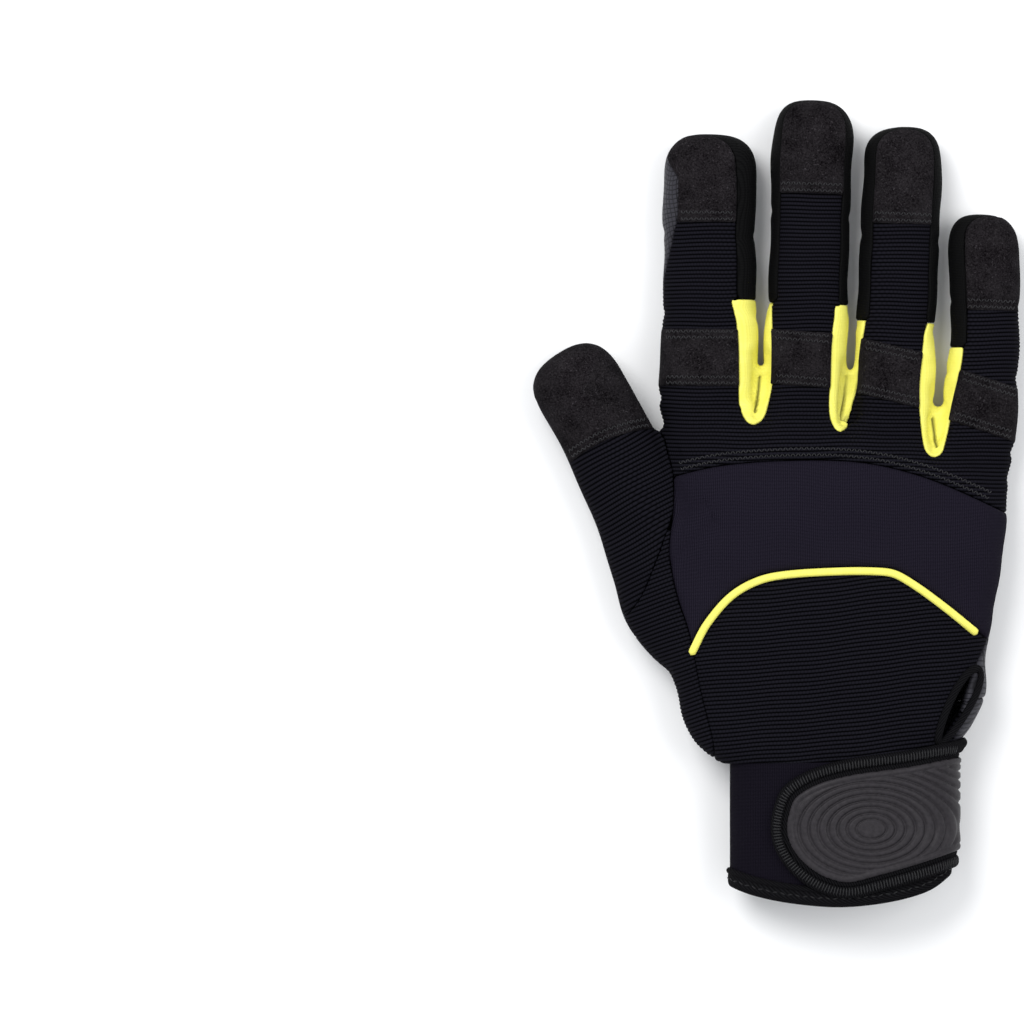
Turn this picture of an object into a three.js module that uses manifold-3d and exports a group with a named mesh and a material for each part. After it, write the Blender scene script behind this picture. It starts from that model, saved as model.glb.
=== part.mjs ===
// A right-hand work glove with a padded palm, lying palm down. Millimetres.
// X runs across the hand, from the thumb to the little finger. Y runs from the wrist to the tips. Z is up.
// The hand's hollow is cut out of one outer form, which gives a shell. The shell is then cut along the seams
// into its panels, and the trims are thin layers that lie on it.

import * as THREE from "three";
import { mergeVertices } from "three/addons/utils/BufferGeometryUtils.js";
import Module from "manifold-3d";

const wasm = await Module();
wasm.setup();

// Sizes of the hand form
const palmLength = 108; // wrist seam to the crotch beside the index finger
const palmHeight = 30;
const palmMargin = 0.3; // what the palm is wider than its fingers, on each side
const knuckleDrop = 10.6; // how much lower the crotch beside the little finger is
const rootDepth = 24; // how far a finger's tube reaches into the palm
const wristWidth = 66.9;
const wristShift = 0.9; // the wrist's middle, from the palm's middle
const wristHeight = 27;
const cuffLift = 1.8; // the cuff's underside above the surface
const cuffLength = 43.2; // wrist seam to the hem's lowest point
const softSag = 1.3; // what the round underside is flattened by lying
const seamHeight = 10.5; // the side seam above the surface

// Sizes of the walls, trims and gaps
const backWall = 2;
const fingerPadWall = 3;
const palmPadWall = 5;
const knucklePadProud = 1.2;
const seamGap = 0.3;
const trimGap = 0.3;
const suedeThickness = 1;
const pipingRadius = 1.15;
const hemWidth = 3.6;
const hemProud = 0.6;
const strapThickness = 1.5;
const strapBindingWidth = 4.2;
const strapBindingProud = 0.4;
const badgeThickness = 1;
const badgeMargin = 2.2;
const reliefHeight = 0.6;
const reliefWidth = 1.2;
const reliefPitch = 4.4;
const reliefStretch = 1.5; // the rings' length over their width
const reliefRings = 3;
const reliefMiddle = { across: 0.13, along: 0.45 }; // shares of the wrist's width and of the cuff's length
const ventLength = 27;
const ventWidth = 7.5;
const ventLean = 31; // degrees
const ventBindingWidth = 2.4;
const ventAcross = 0.66; // the vent's middle, as a share of the palm's half width
const ventAt = 0.165; // and of its length
const pullPatchWidth = 27;
const tipRim = 2.6; // the rim of side strip past a finger's back panel, at the tip
const frontRim = 2.6; // and beside its leather front
const sideClearance = 0.5; // a cut's reach past a finger's side, under half of the space between two fingers

// The fingers. taper is the tip's width as a share, and gap is the space to the next finger at the crotch.
const fingers = [
  { name: "index", width: 28.9, height: 20.5, reach: 82.8, lean: 0, bow: 0, taper: 1.01, gap: 1.2 },
  { name: "middle", width: 25.4, height: 20.5, reach: 94.2, lean: 2, bow: 0, taper: 0.97, gap: 2 },
  { name: "ring", width: 25, height: 19.5, reach: 91.3, lean: 2.3, bow: 0, taper: 0.98, gap: 0.4 },
  { name: "little", width: 22.8, height: 18, reach: 72.8, lean: 2.2, bow: 2.3, taper: 0.94, gap: 0 },
];
const thumb = { name: "thumb", width: 28.5, height: 21, reach: 100, lean: -29.1, bow: 0, taper: 1 };
const thumbRoot = { rootX: -34.8, rootY: 36.4 }; // where the thumb's middle line starts

// Where the trims lie on each finger, as shares of its reach. rimNear and rimFar are the widths of the side
// strip beyond the back panel, on the thumb's side and on the other side.
const fingerTrims = {
  index: { rimNear: 2.6, rimFar: 7.3, capFrom: 0.68, barFrom: 0.08, barTo: 0.27, slant: 0 },
  middle: { rimNear: 3, rimFar: 3.2, capFrom: 0.69, barFrom: 0.08, barTo: 0.25, slant: 0 },
  ring: { rimNear: 3.6, rimFar: 3.2, capFrom: 0.68, barFrom: 0.09, barTo: 0.28, slant: 0.12 },
  little: { rimNear: 5.2, rimFar: 2.4, capFrom: 0.61, barFrom: 0.08, barTo: 0.32, slant: 0.28 },
};
const thumbCapFrom = 0.71;
const webReach = 33; // how far the bright strip runs up each finger from its crotch
const webBelow = 5.4; // and down the back from the crotch

// A finger's sections: along is a share of its reach, width and height are shares of its own.
const fingerSections = [
  { along: 0, width: 1.09, height: 1.04 },
  { along: 0.13, width: 1.07, height: 1.02 },
  { along: 0.28, width: 1, height: 1 },
  { along: 0.65, width: 0.98, height: 0.96 },
];
const rootSection = { width: 0.75, height: 0.5 }; // inside the palm
const tipRound = 0.28; // how far back a panel's round end starts, as a share of the finger's width
// The round end: back is the distance from the tip as a share of the width. The hollow skips the fine rows.
const tipSections = [
  { back: 0.5, width: 0.97, height: 0.92 },
  { back: 0.21, width: 0.9, height: 0.8, fine: true },
  { back: 0.06, width: 0.7, height: 0.58 },
  { back: 0, width: 0.4, height: 0.3, fine: true },
];
// The thumb's sections, from its root in the palm.
const thumbSections = [
  { along: -0.08, width: 1.0, height: 1.0 },
  { along: 0.06, width: 1.42, height: 1.14 },
  { along: 0.2, width: 1.58, height: 1.18 },
  { along: 0.34, width: 1.36, height: 1.12 },
  { along: 0.5, width: 1.12, height: 1.04 },
  { along: 0.66, width: 1.02, height: 1 },
  { along: 0.8, width: 0.95, height: 0.95 },
];
// The palm's sections: at is a share of its length. near and far go from 0, the wrist's edge, to 1, the
// knuckles' edge.
const palmSections = [
  { at: 0, near: 0.14, far: 0, height: 0 },
  { at: 0.04, near: 0.42, far: 0.05, height: 0.12 },
  { at: 0.11, near: 0.66, far: 0.36, height: 0.4 },
  { at: 0.2, near: 0.78, far: 0.58, height: 0.8 },
  { at: 0.32, near: 0.98, far: 0.6, height: 1 },
  { at: 0.46, near: 0.98, far: 0.68, height: 1.05 },
  { at: 0.6, near: 0.94, far: 0.8, height: 0.8 },
  { at: 0.77, near: 0.93, far: 0.9, height: 0.1 },
  { at: 0.94, near: 1, far: 0.99, height: -1.9 },
];
// The palm's rounded front, between the fingers: rise is a share of the height there.
const frontSections = [
  { at: 0.98, rise: 0.74 },
  { at: 1.015, rise: 0.4 },
];

// Seams on the back, as shares of the palm's half width and of its length.
const knuckleSeam = [
  { across: -1.1, at: 0.78 },
  { across: -0.95, at: 0.806 },
  { across: -0.6, at: 0.842 },
  { across: 0, at: 0.852 },
  { across: 0.45, at: 0.812 },
  { across: 0.95, at: 0.71 },
  { across: 1.15, at: 0.65 },
];
const pipingLine = [
  { across: -0.8, at: 0.335 },
  { across: -0.68, at: 0.43 },
  { across: -0.47, at: 0.502 },
  { across: -0.25, at: 0.517 },
  { across: 0.05, at: 0.53 },
  { across: 0.31, at: 0.531 },
  { across: 0.42, at: 0.512 },
  { across: 0.79, at: 0.37 },
];
const backPanelEdge = [
  { at: -0.02, near: -0.56, far: 0.68 },
  { at: 0.15, near: -0.76, far: 0.78 },
  { at: 0.34, near: -0.86, far: 0.8 },
  { at: 0.56, near: -0.97, far: 0.87 },
  { at: 0.76, near: -0.93, far: 0.92 },
  { at: 0.96, near: -0.93, far: 0.93 },
];
const thumbSeam = [
  { across: -1.7, at: 0.36 },
  { across: -1.2, at: 0.42 },
  { across: -0.9, at: 0.75 },
];
// Seams on the palm.
const palmPadSeam = [
  { across: -1.06, at: 1.4 },
  { across: -1.035, at: 1.02 },
  { across: -0.97, at: 0.9 },
  { across: -0.8, at: 0.815 },
  { across: -0.68, at: 0.74 },
  { across: -0.65, at: 0.58 },
  { across: -0.62, at: 0.35 },
  { across: -0.54, at: 0.23 },
  { across: -0.38, at: 0.17 },
  { across: -0.1, at: 0.13 },
  { across: 0.43, at: 0.135 },
  { across: 0.82, at: 0.18 },
  { across: 1.15, at: 0.2 },
];
const thumbPadSeam = [
  { across: -1.5, at: 0.25 },
  { across: -1.03, at: 0.4 },
  { across: -0.84, at: 0.51 },
  { across: -0.6, at: 0.68 },
];

// The hem's line: across is a share of the wrist's half width, from its middle, and along a share of the
// cuff's length.
const hemEdge = [
  { across: -1.3, along: 0.76 },
  { across: -1, along: 0.86 },
  { across: -0.75, along: 0.93 },
  { across: -0.4, along: 0.98 },
  { across: 0, along: 1 },
  { across: 0.4, along: 0.97 },
  { across: 0.75, along: 0.9 },
  { across: 1, along: 0.78 },
  { across: 1.3, along: 0.67 },
];
// The strap's edge from its upper corner round its end, in the same shares.
const strapEdge = [
  { across: 1.4, along: -0.26 },
  { across: 1, along: -0.17 },
  { across: 0.6, along: -0.1 },
  { across: 0.06, along: -0.04 },
  { across: -0.28, along: 0.035 },
  { across: -0.51, along: 0.15 },
  { across: -0.6, along: 0.29 },
  { across: -0.63, along: 0.46 },
  { across: -0.58, along: 0.62 },
  { across: -0.44, along: 0.77 },
  { across: -0.22, along: 0.89 },
  { across: 0.06, along: 0.94 },
  { across: 0.4, along: 0.88 },
  { across: 0.75, along: 0.8 },
  { across: 1, along: 0.73 },
  { across: 1.4, along: 0.6 },
];

// Values that follow
const halfWidth = fingers.reduce((sum, f) => sum + f.width + f.gap, 0) / 2 + palmMargin;
const fingerCount = fingers.length;
const high = palmHeight * 2;
const finest = 0.01;
const cutSlant = backWall * 2.6;
const fingerSides = 10;
const palmSides = 20;
const seamSteps = 2;
const ringSides = 12;

// What a solid is moved out by, on its sides and top, and on its underside. A negative value moves it in.
const surface = { side: 0, under: 0 };
const grown = (by) => ({ side: by, under: by });
const hollow = (underWall) => ({ side: -backWall, under: -underWall });

function solidOf(geometry) {
  const bare = new THREE.BufferGeometry();
  bare.setAttribute("position", geometry.getAttribute("position").clone());
  if (geometry.index) bare.setIndex(geometry.index.clone());
  const merged = mergeVertices(bare, 1e-4);
  const triVerts = new Uint32Array(merged.index.array);
  const vertProperties = new Float32Array(merged.attributes.position.array);
  const made = new wasm.Manifold(new wasm.Mesh({ numProp: 3, vertProperties, triVerts }));
  if (made.volume() > 0) return made;
  for (let i = 0; i < triVerts.length; i += 3) {
    [triVerts[i], triVerts[i + 1]] = [triVerts[i + 1], triVerts[i]];
  }
  return new wasm.Manifold(new wasm.Mesh({ numProp: 3, vertProperties, triVerts }));
}

// A closed solid through rings of points, each ring with as many points as the others.
function loft(rings) {
  const count = rings[0].length;
  const points = rings.flat();
  const index = [];
  for (let r = 0; r + 1 < rings.length; r++) {
    for (let i = 0; i < count; i++) {
      const a = r * count + i;
      const b = r * count + ((i + 1) % count);
      index.push(a, b, b + count, a, b + count, a + count);
    }
  }
  const last = (rings.length - 1) * count;
  for (let i = 1; i + 1 < count; i++) {
    index.push(0, i + 1, i);
    index.push(last, last + i, last + i + 1);
  }
  const geometry = new THREE.BufferGeometry();
  geometry.setAttribute("position", new THREE.Float32BufferAttribute(points.flatMap((p) => p.toArray()), 3));
  geometry.setIndex(index);
  return solidOf(geometry);
}

function prism(outline, from, to) {
  const shape = new THREE.Shape(outline);
  const geometry = new THREE.ExtrudeGeometry(shape, { depth: to - from, bevelEnabled: false });
  return solidOf(geometry.translate(0, 0, from));
}

const planPrism = (places) => prism(places.map((p) => new THREE.Vector2(p.x, p.y)), -high, high);
const join = (solids) => solids.reduce((all, one) => all.add(one));
const mix = (a, b, share) => a + (b - a) * share;

// Reads a table's column at a place, in straight steps between its rows.
function read(rows, key, place, column) {
  let i = 0;
  while (i + 2 < rows.length && rows[i + 1][key] < place) i++;
  const share = (place - rows[i][key]) / (rows[i + 1][key] - rows[i][key]);
  return mix(rows[i][column], rows[i + 1][column], Math.min(Math.max(share, 0), 1));
}

// A smooth line through a seam's rows, in the plan.
function seamPoints(rows) {
  const through = rows.map((row) => new THREE.Vector2(row.across * halfWidth, row.at * palmLength));
  return new THREE.SplineCurve(through).getPoints((rows.length - 1) * seamSteps);
}

// How far the knuckle line has dropped at a place across the hand.
function dropAt(x) {
  const start = -halfWidth / 2;
  const share = Math.max((x - start) / (halfWidth * 1.07), 0);
  return knuckleDrop * share ** 1.8;
}

// The points of a flattened oval: round above its waist, and flat below where it lies.
function ovalRing(oval, sides) {
  const ring = [];
  for (let i = 0; i < sides; i++) {
    const angle = (2 * Math.PI * i) / sides;
    const c = Math.cos(angle);
    const s = Math.sin(angle);
    const across = oval.halfWidth * Math.sign(c) * Math.abs(c) ** 0.8;
    const reach = s > 0 ? oval.top - oval.waist : oval.waist - oval.bottom;
    const rise = reach * Math.sign(s) * Math.abs(s) ** (s > 0 ? 0.85 : 0.7);
    ring.push(
      new THREE.Vector3(
        oval.x + across * Math.cos(oval.turn),
        oval.y - across * Math.sin(oval.turn),
        Math.max(oval.waist + rise, oval.floor)
      )
    );
  }
  return ring;
}

function fingerPlaces() {
  let x = -halfWidth + palmMargin;
  return fingers.map((f) => {
    const rootX = x + f.width / 2;
    x += f.width + f.gap;
    return { ...f, rootX, rootY: palmLength - dropAt(rootX) };
  });
}
const placed = fingerPlaces();
const placedThumb = { ...thumb, ...thumbRoot };

// A point beside a finger's bowed middle line: along is in millimetres from its crotch.
function besideLine(f, along, across) {
  const turn = THREE.MathUtils.degToRad(f.lean);
  const share = Math.min(Math.max(along / f.reach, 0), 1);
  const side = across + f.bow * Math.sin(Math.PI * share);
  return {
    x: f.rootX + along * Math.sin(turn) + side * Math.cos(turn),
    y: f.rootY + along * Math.cos(turn) - side * Math.sin(turn),
    turn,
  };
}

function digitRing(f, along, { width, height }, skin) {
  const waist = f.height * 0.47;
  const taper = mix(1, f.taper, Math.max(along / f.reach, 0));
  return ovalRing(
    {
      ...besideLine(f, along, 0),
      halfWidth: (f.width / 2) * width * taper + skin.side,
      waist,
      top: waist + (f.height - waist) * height + skin.side,
      bottom: waist - (waist + softSag) * Math.min(height, 1) - skin.under,
      floor: -skin.under,
    },
    fingerSides
  );
}

function digitForm(f, sections, skin) {
  const reach = f.reach + skin.side;
  const tips = tipSections.filter((row) => skin.side >= 0 || !row.fine);
  const rings = [
    ...sections.map((row) => digitRing(f, row.along * f.reach, row, skin)),
    ...tips.map((row) => digitRing(f, reach - row.back * f.width, row, skin)),
  ];
  if (f !== placedThumb) rings.unshift(digitRing(f, -rootDepth, rootSection, skin));
  return loft(rings);
}

function palmOval(at) {
  const near = read(palmSections, "at", at, "near");
  const far = read(palmSections, "at", at, "far");
  const lift = read(palmSections, "at", at, "height");
  const low = mix(wristShift - wristWidth / 2, -halfWidth, near);
  const wide = mix(wristShift + wristWidth / 2, halfWidth, far);
  return {
    x: (low + wide) / 2,
    half: (wide - low) / 2,
    top: mix(wristHeight + cuffLift, palmHeight, lift),
    lie: Math.min(at / palmSections[3].at, 1), // 0 at the raised wrist, 1 where the palm lies flat
  };
}

function palmRing(at, rise, skin) {
  const oval = palmOval(at);
  const waist = mix(wristHeight * 0.5 + cuffLift, palmHeight * 0.42, oval.lie);
  const lowest = mix(cuffLift, -softSag, oval.lie);
  const ring = ovalRing(
    {
      x: oval.x,
      y: at * palmLength,
      turn: 0,
      halfWidth: oval.half - (1 - rise) * palmHeight * 0.1 + skin.side,
      waist,
      top: waist + (oval.top - waist) * rise + skin.side,
      bottom: waist - (waist - lowest) * rise - skin.under,
      floor: mix(cuffLift, 0, oval.lie) - skin.under,
    },
    palmSides
  );
  return ring.map((p) => p.setY(p.y - dropAt(p.x) * Math.max(at, 0) ** 2));
}

function palmForm(skin, past) {
  const rows = palmSections.map((row) => palmRing(row.at, 1, skin));
  const ends = frontSections.map((row) => palmRing(row.at + skin.side / palmLength, row.rise, skin));
  const start = palmRing(0, 1, skin).map((p) => p.setY(-past));
  return loft([...(past ? [start] : []), ...rows, ...ends]);
}

function cuffRing(y, skin) {
  return ovalRing(
    {
      x: wristShift,
      y,
      turn: 0,
      halfWidth: wristWidth / 2 + skin.side,
      waist: wristHeight * 0.5 + cuffLift,
      top: wristHeight + cuffLift + skin.side,
      bottom: cuffLift - skin.under,
      floor: cuffLift - skin.under,
    },
    palmSides
  );
}

const hemLow = -cuffLength;

function cuffForm(skin, top = -seamGap, low = hemLow - hemWidth) {
  return loft([cuffRing(top, skin), cuffRing(low, skin)]);
}

// A smooth line in the plan through a table of places on the cuff.
function cuffLine(rows, steps) {
  const place = (row) => new THREE.Vector2(wristShift + (row.across * wristWidth) / 2, row.along * hemLow);
  return new THREE.SplineCurve(rows.map(place)).getPoints((rows.length - 1) * steps);
}

function aboveHem(up) {
  const line = movedLine(cuffLine(hemEdge, 1), up);
  const corners = [line[line.length - 1], line[0]].map((p) => new THREE.Vector2(p.x, palmLength));
  return prism([...line, ...corners], -high, high);
}

// A cutter over a finger's back or under its front, with sides that lean so that they meet the wall squarely.
function digitCutter(f, { from, to, near, far, up, grow = 0, slant = 0, round = 0 }) {
  const lean = up ? cutSlant : cutSlant * 0.8;
  const level = seamHeight;
  const open = up ? f.height + lean : -lean;
  const rows = [
    { along: from - grow, narrow: 1 },
    { along: mix(from, to, 0.35), narrow: 1 },
    { along: mix(from, to, 0.7), narrow: 1 },
    { along: to - round + grow, narrow: 1 },
    { along: to - round * 0.35 + grow, narrow: round ? 0.9 : 1 },
    { along: to + grow, narrow: round ? 0.62 : 1 },
  ];
  const rings = rows.map(({ along, narrow }, i) => {
    const ending = round > 0 ? Math.max(i - 3, 0) / 4 : 0;
    const corner = (side, out, z) => {
      const across = side * ((side < 0 ? near : far) * narrow + grow + out);
      const place = besideLine(f, along + ending * out - across * slant, across);
      return new THREE.Vector3(place.x, place.y, z);
    };
    return [
      corner(-1, -lean, level),
      corner(1, -lean, level),
      corner(1, lean, open),
      corner(-1, lean, open),
    ];
  });
  return loft(rings);
}

const backSeams = (f) => ({
  near: f.width / 2 - fingerTrims[f.name].rimNear,
  far: f.width / 2 - fingerTrims[f.name].rimFar,
});

function fingerBack(f, grow) {
  const ends = { from: -rootDepth, to: f.reach - tipRim };
  return digitCutter(f, { ...ends, ...backSeams(f), up: true, grow, round: f.width * tipRound });
}

function fingerFront(f, grow) {
  const half = f.width / 2 - frontRim;
  const first = f === placed[0];
  const last = f === placed[fingerCount - 1];
  const sides = { near: first ? f.width : half, far: last ? f.width : half };
  const ends = { from: -rootDepth, to: f.reach - tipRim * 0.7 };
  return digitCutter(f, { ...ends, ...sides, up: false, grow, round: f.width * tipRound });
}

// The back of the hand, between the seams on its two sides.
function palmBack(grow) {
  const rings = backPanelEdge.map((row, i) => {
    const end = i === 0 ? -1 : i === backPanelEdge.length - 1 ? 1 : 0;
    const place = (share, out, z) => {
      const x = share * halfWidth + Math.sign(share) * (grow + out);
      const y = row.at * palmLength + end * grow - dropAt(x) * Math.max(row.at, 0) ** 2;
      return new THREE.Vector3(x, y, z);
    };
    return [
      place(row.near, -cutSlant, seamHeight),
      place(row.far, -cutSlant, seamHeight),
      place(row.far, cutSlant, high),
      place(row.near, cutSlant, high),
    ];
  });
  return loft(rings);
}

// The plan of a bright web: between the back seams of two neighbouring fingers, round at its lower end.
function webPlan(i, grow) {
  const left = placed[i];
  const right = placed[i + 1];
  const at = (f, side, along) => {
    const seam = side > 0 ? backSeams(f).far : backSeams(f).near;
    const p = besideLine(f, along, side * (seam - grow));
    return new THREE.Vector2(p.x, p.y);
  };
  const lowLeft = at(left, 1, 0);
  const lowRight = at(right, -1, 0);
  const middle = lowLeft.clone().add(lowRight).multiplyScalar(0.5);
  const across = lowRight.distanceTo(lowLeft) / 2;
  const bottom = [];
  for (let step = 0; step <= 5; step++) {
    const angle = Math.PI + (Math.PI * step) / 5;
    const dip = webBelow + grow;
    bottom.push(new THREE.Vector2(middle.x + across * Math.cos(angle), middle.y + dip * Math.sin(angle)));
  }
  const half = webReach / 2;
  return [...bottom, at(right, -1, half), at(right, -1, webReach), at(left, 1, webReach), at(left, 1, half)];
}

// A line in the plan, moved to its left by a distance.
function movedLine(line, gap) {
  return line.map((p, i) => {
    const a = line[Math.max(i - 1, 0)];
    const b = line[Math.min(i + 1, line.length - 1)];
    const normal = new THREE.Vector2(a.y - b.y, b.x - a.x).normalize();
    return p.clone().addScaledVector(normal, gap);
  });
}

// Everything in the plan on one side of a seam line.
const sideOfSeam = (rows, gap, corners) =>
  prism([...movedLine(seamPoints(rows), gap), ...corners], -high, high);
const corner = (x, y) => new THREE.Vector2(x * halfWidth, y * palmLength);

// The shell of the whole hand, without its cuff.
const digits = [...placed, placedThumb];
const sectionsOf = (f) => (f === placedThumb ? thumbSections : fingerSections);
const outer = join([palmForm(surface, 0), ...digits.map((f) => digitForm(f, sectionsOf(f), surface))]);
const cavity = join([
  palmForm(hollow(palmPadWall), backWall),
  ...digits.map((f) => digitForm(f, sectionsOf(f), hollow(fingerPadWall))),
]);
const shell = outer.subtract(cavity);
const raised = palmForm(grown(knucklePadProud), 0).subtract(cavity);

// The regions of the back
const webs = placed.slice(1).map((_, i) => i); // the web of a finger and the next one
const notches = (grow) => join(webs.map((i) => prism(webPlan(i, grow), seamHeight, high)));
const backZone = (grow) =>
  join([palmBack(grow).subtract(notches(-grow)), ...placed.map((f) => fingerBack(f, grow))]);
const back = backZone(0);
const backWithGap = backZone(seamGap);

const pastKnuckles = [corner(1.9, 0.6), corner(1.9, 2.6), corner(-1.9, 2.6)];
const fingerSide = sideOfSeam(knuckleSeam, seamGap / 2, pastKnuckles);
const fingerSideWithGap = sideOfSeam(knuckleSeam, -seamGap / 2, pastKnuckles);
const pipingClear = pipingRadius + 2 * trimGap;
const pipingRegion = (gap) =>
  sideOfSeam([{ across: -1.2, at: 0.1 }, ...pipingLine, { across: 1.2, at: 0.2 }], gap, [
    corner(1.9, 0.2),
    corner(1.9, 2.6),
    corner(-1.9, 2.6),
    corner(-1.9, 0.1),
  ]);

// The vent's plan: a drop shape, moved out by a distance.
function ventPlan(out) {
  const points = [];
  const lean = THREE.MathUtils.degToRad(ventLean);
  for (let i = 0; i < 14; i++) {
    const angle = (2 * Math.PI * i) / 14;
    const along = Math.cos(angle) * (ventLength / 2 + out);
    const across = Math.sin(angle) * (ventWidth / 2 + out) * (0.8 + 0.2 * Math.cos(angle));
    const x = ventAcross * halfWidth + along * Math.sin(lean) * 0.9 + across * Math.cos(lean);
    const y = ventAt * palmLength + along * Math.cos(lean) - across * Math.sin(lean);
    points.push(new THREE.Vector2(x, y));
  }
  return points;
}

// One side of a finger in the plan, between two places along it.
function sideRegion(f, side, from, to) {
  const wide = side * (f.width / 2 + sideClearance);
  const plan = [];
  for (let i = 0; i <= 4; i++) plan.push(besideLine(f, mix(from, to, i / 4), 0));
  for (let i = 4; i >= 0; i--) plan.push(besideLine(f, mix(from, to, i / 4), wide));
  return planPrism(plan);
}

// The side strips' region: from the web's end up and round the tip, begun a little earlier by ease.
function stripRegion(f, ease) {
  const past = f.reach + f.width;
  const from = (bare) => (bare ? f.reach * 0.86 : webReach + seamGap / 2) - ease;
  return join([
    sideRegion(f, -1, from(f === placed[0]), past),
    sideRegion(f, 1, from(f === placed[fingerCount - 1]), past),
  ]);
}

// A web's region between the middle lines of two fingers, ended a little later by ease.
function webRegion(i, ease) {
  const [left, right] = [placed[i], placed[i + 1]];
  const to = webReach - seamGap / 2 + ease;
  return planPrism([
    besideLine(left, -webBelow * 2, 0),
    besideLine(right, -webBelow * 2, 0),
    besideLine(right, to / 2, 0),
    besideLine(right, to, 0),
    besideLine(right, to, -right.width / 2 - sideClearance),
    besideLine(left, to, left.width / 2 + sideClearance),
    besideLine(left, to, 0),
    besideLine(left, to / 2, 0),
  ]);
}

const slab = (from, to) => prism([corner(-3, -2), corner(3, -2), corner(3, 4), corner(-3, 4)], from, to);

// The thumb's side of the back, outside the back panel.
function thumbSide(grow) {
  const edge = [corner(-0.3, 0.5), corner(-0.75, 0.79), corner(-1.02, 0.9), corner(-1.2, 1.4)];
  const moved = edge.map((p) => new THREE.Vector2(p.x + grow, p.y + grow));
  return prism([corner(-3, -0.5), corner(-0.3, -0.5), ...moved, corner(-3, 1.4)], -high, high);
}

// Below the crotches, the palm's leather takes all that is under the side seam.
function lowerZone(grow) {
  const crotches = webs.map((i) => {
    const x = (placed[i].rootX + placed[i].width / 2 + placed[i + 1].rootX - placed[i + 1].width / 2) / 2;
    return new THREE.Vector2(x, palmLength - dropAt(x) + 1.5 + grow);
  });
  const farSide = [corner(3, -0.5), corner(3, 0.8), corner(1.2, 0.82)];
  const nearSide = [corner(-1.2, 1.02), corner(-3, 1.02), corner(-3, -0.5)];
  return prism([...farSide, ...crotches.reverse(), ...nearSide], -high, seamHeight + grow);
}

const front = (grow) => join([lowerZone(grow), ...placed.map((f) => fingerFront(f, grow))]);
const frontWithGap = front(seamGap);

const largest = (solid) => solid.decompose().reduce((a, b) => (a.volume() > b.volume() ? a : b));

// A cut piece with its corners on a fine grid, without the slivers that cutting leaves.
function onGrid(made) {
  const got = made.getMesh();
  const geometry = new THREE.BufferGeometry();
  const places = Float32Array.from(got.vertProperties, (v) => Math.round(v / finest) * finest);
  geometry.setAttribute("position", new THREE.BufferAttribute(places, 3));
  geometry.setIndex([...got.triVerts]);
  const merged = mergeVertices(geometry, finest / 10);
  const index = [];
  for (let i = 0; i < merged.index.count; i += 3) {
    const [a, b, c] = [0, 1, 2].map((k) => merged.index.getX(i + k));
    if (a !== b && b !== c && a !== c) index.push(a, b, c);
  }
  return largest(solidOf(merged.setIndex(index)));
}

const nodes = new Map();
function piece(name, made) {
  nodes.set(name, onGrid(largest(made)));
}

// Back panels
piece("knuckle_knit", shell.intersect(back).intersect(fingerSide));
const abovePiping = pipingRegion(pipingClear + trimGap);
piece("knuckle_pad", raised.intersect(back).subtract(fingerSideWithGap).intersect(abovePiping));
const vent = prism(ventPlan(0), seamHeight, high);
piece("lower_back_knit", shell.intersect(back).subtract(pipingRegion(pipingClear - seamGap)).subtract(vent));

// Thumb and gusset
const overSeam = (gap) => thumbSide(gap).intersect(slab(seamHeight + seamGap / 2 - gap, high));
const nearTop = shell.intersect(overSeam(0)).subtract(backWithGap);
const tipCorners = [corner(-0.3, 1.6), corner(-4, 1.6), corner(-4, 0.36)];
piece("thumb_back_knit", nearTop.intersect(sideOfSeam(thumbSeam, seamGap / 2, tipCorners)));
piece("thumb_gusset_knit", nearTop.subtract(sideOfSeam(thumbSeam, -seamGap / 2, tipCorners)));

// Leather
const webRegions = (ease) => webs.map((i) => webRegion(i, ease));
const stripRegions = (ease) => placed.map((f) => stripRegion(f, ease));
const sideRegions = join([...webRegions(seamGap), ...stripRegions(seamGap)]).subtract(front(0));
const leather = shell.subtract(backWithGap).subtract(overSeam(seamGap)).subtract(sideRegions);
const palmCorners = [corner(4, 0.2), corner(4, 3), corner(-1.06, 3)];
piece("palm_leather", leather.intersect(sideOfSeam(palmPadSeam, seamGap / 2, palmCorners)));
const offPalm = leather.subtract(sideOfSeam(palmPadSeam, -seamGap / 2, palmCorners));
const thumbCorners = [corner(-0.6, 1.6), corner(-4, 1.6), corner(-4, 0.25)];
piece("thumb_leather", offPalm.intersect(sideOfSeam(thumbPadSeam, seamGap / 2, thumbCorners)));
piece("heel_leather", offPalm.subtract(sideOfSeam(thumbPadSeam, -seamGap / 2, thumbCorners)));

// Side strips and webs
const sides = shell.subtract(backWithGap).subtract(frontWithGap);
stripRegions(0).forEach((region, i) => piece(placed[i].name + "_side_strip", sides.intersect(region)));
webRegions(0).forEach((region, i) => {
  piece(placed[i].name + "_" + placed[i + 1].name + "_web", sides.intersect(region));
});

// Suede on the fingers and the thumb
function suedePatch(f, sections, { from, to, slant, near, far }) {
  const outside = digitForm(f, sections, grown(trimGap + suedeThickness));
  const round = to > f.reach * 0.9 ? f.width * tipRound : 0;
  const cutter = digitCutter(f, { from, to, near, far, up: true, grow: -seamGap, slant, round });
  return outside.subtract(digitForm(f, sections, grown(trimGap))).intersect(cutter);
}
placed.forEach((f) => {
  const trim = fingerTrims[f.name];
  const seams = backSeams(f);
  piece(
    f.name + "_tip_cap",
    suedePatch(f, fingerSections, { from: trim.capFrom * f.reach, to: f.reach - tipRim, slant: 0, ...seams })
  );
  const bar = { from: trim.barFrom * f.reach, to: trim.barTo * f.reach, slant: trim.slant };
  piece(f.name + "_knuckle_bar", suedePatch(f, fingerSections, { ...bar, ...seams }));
});
const thumbHalf = thumb.width * 0.46;
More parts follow.
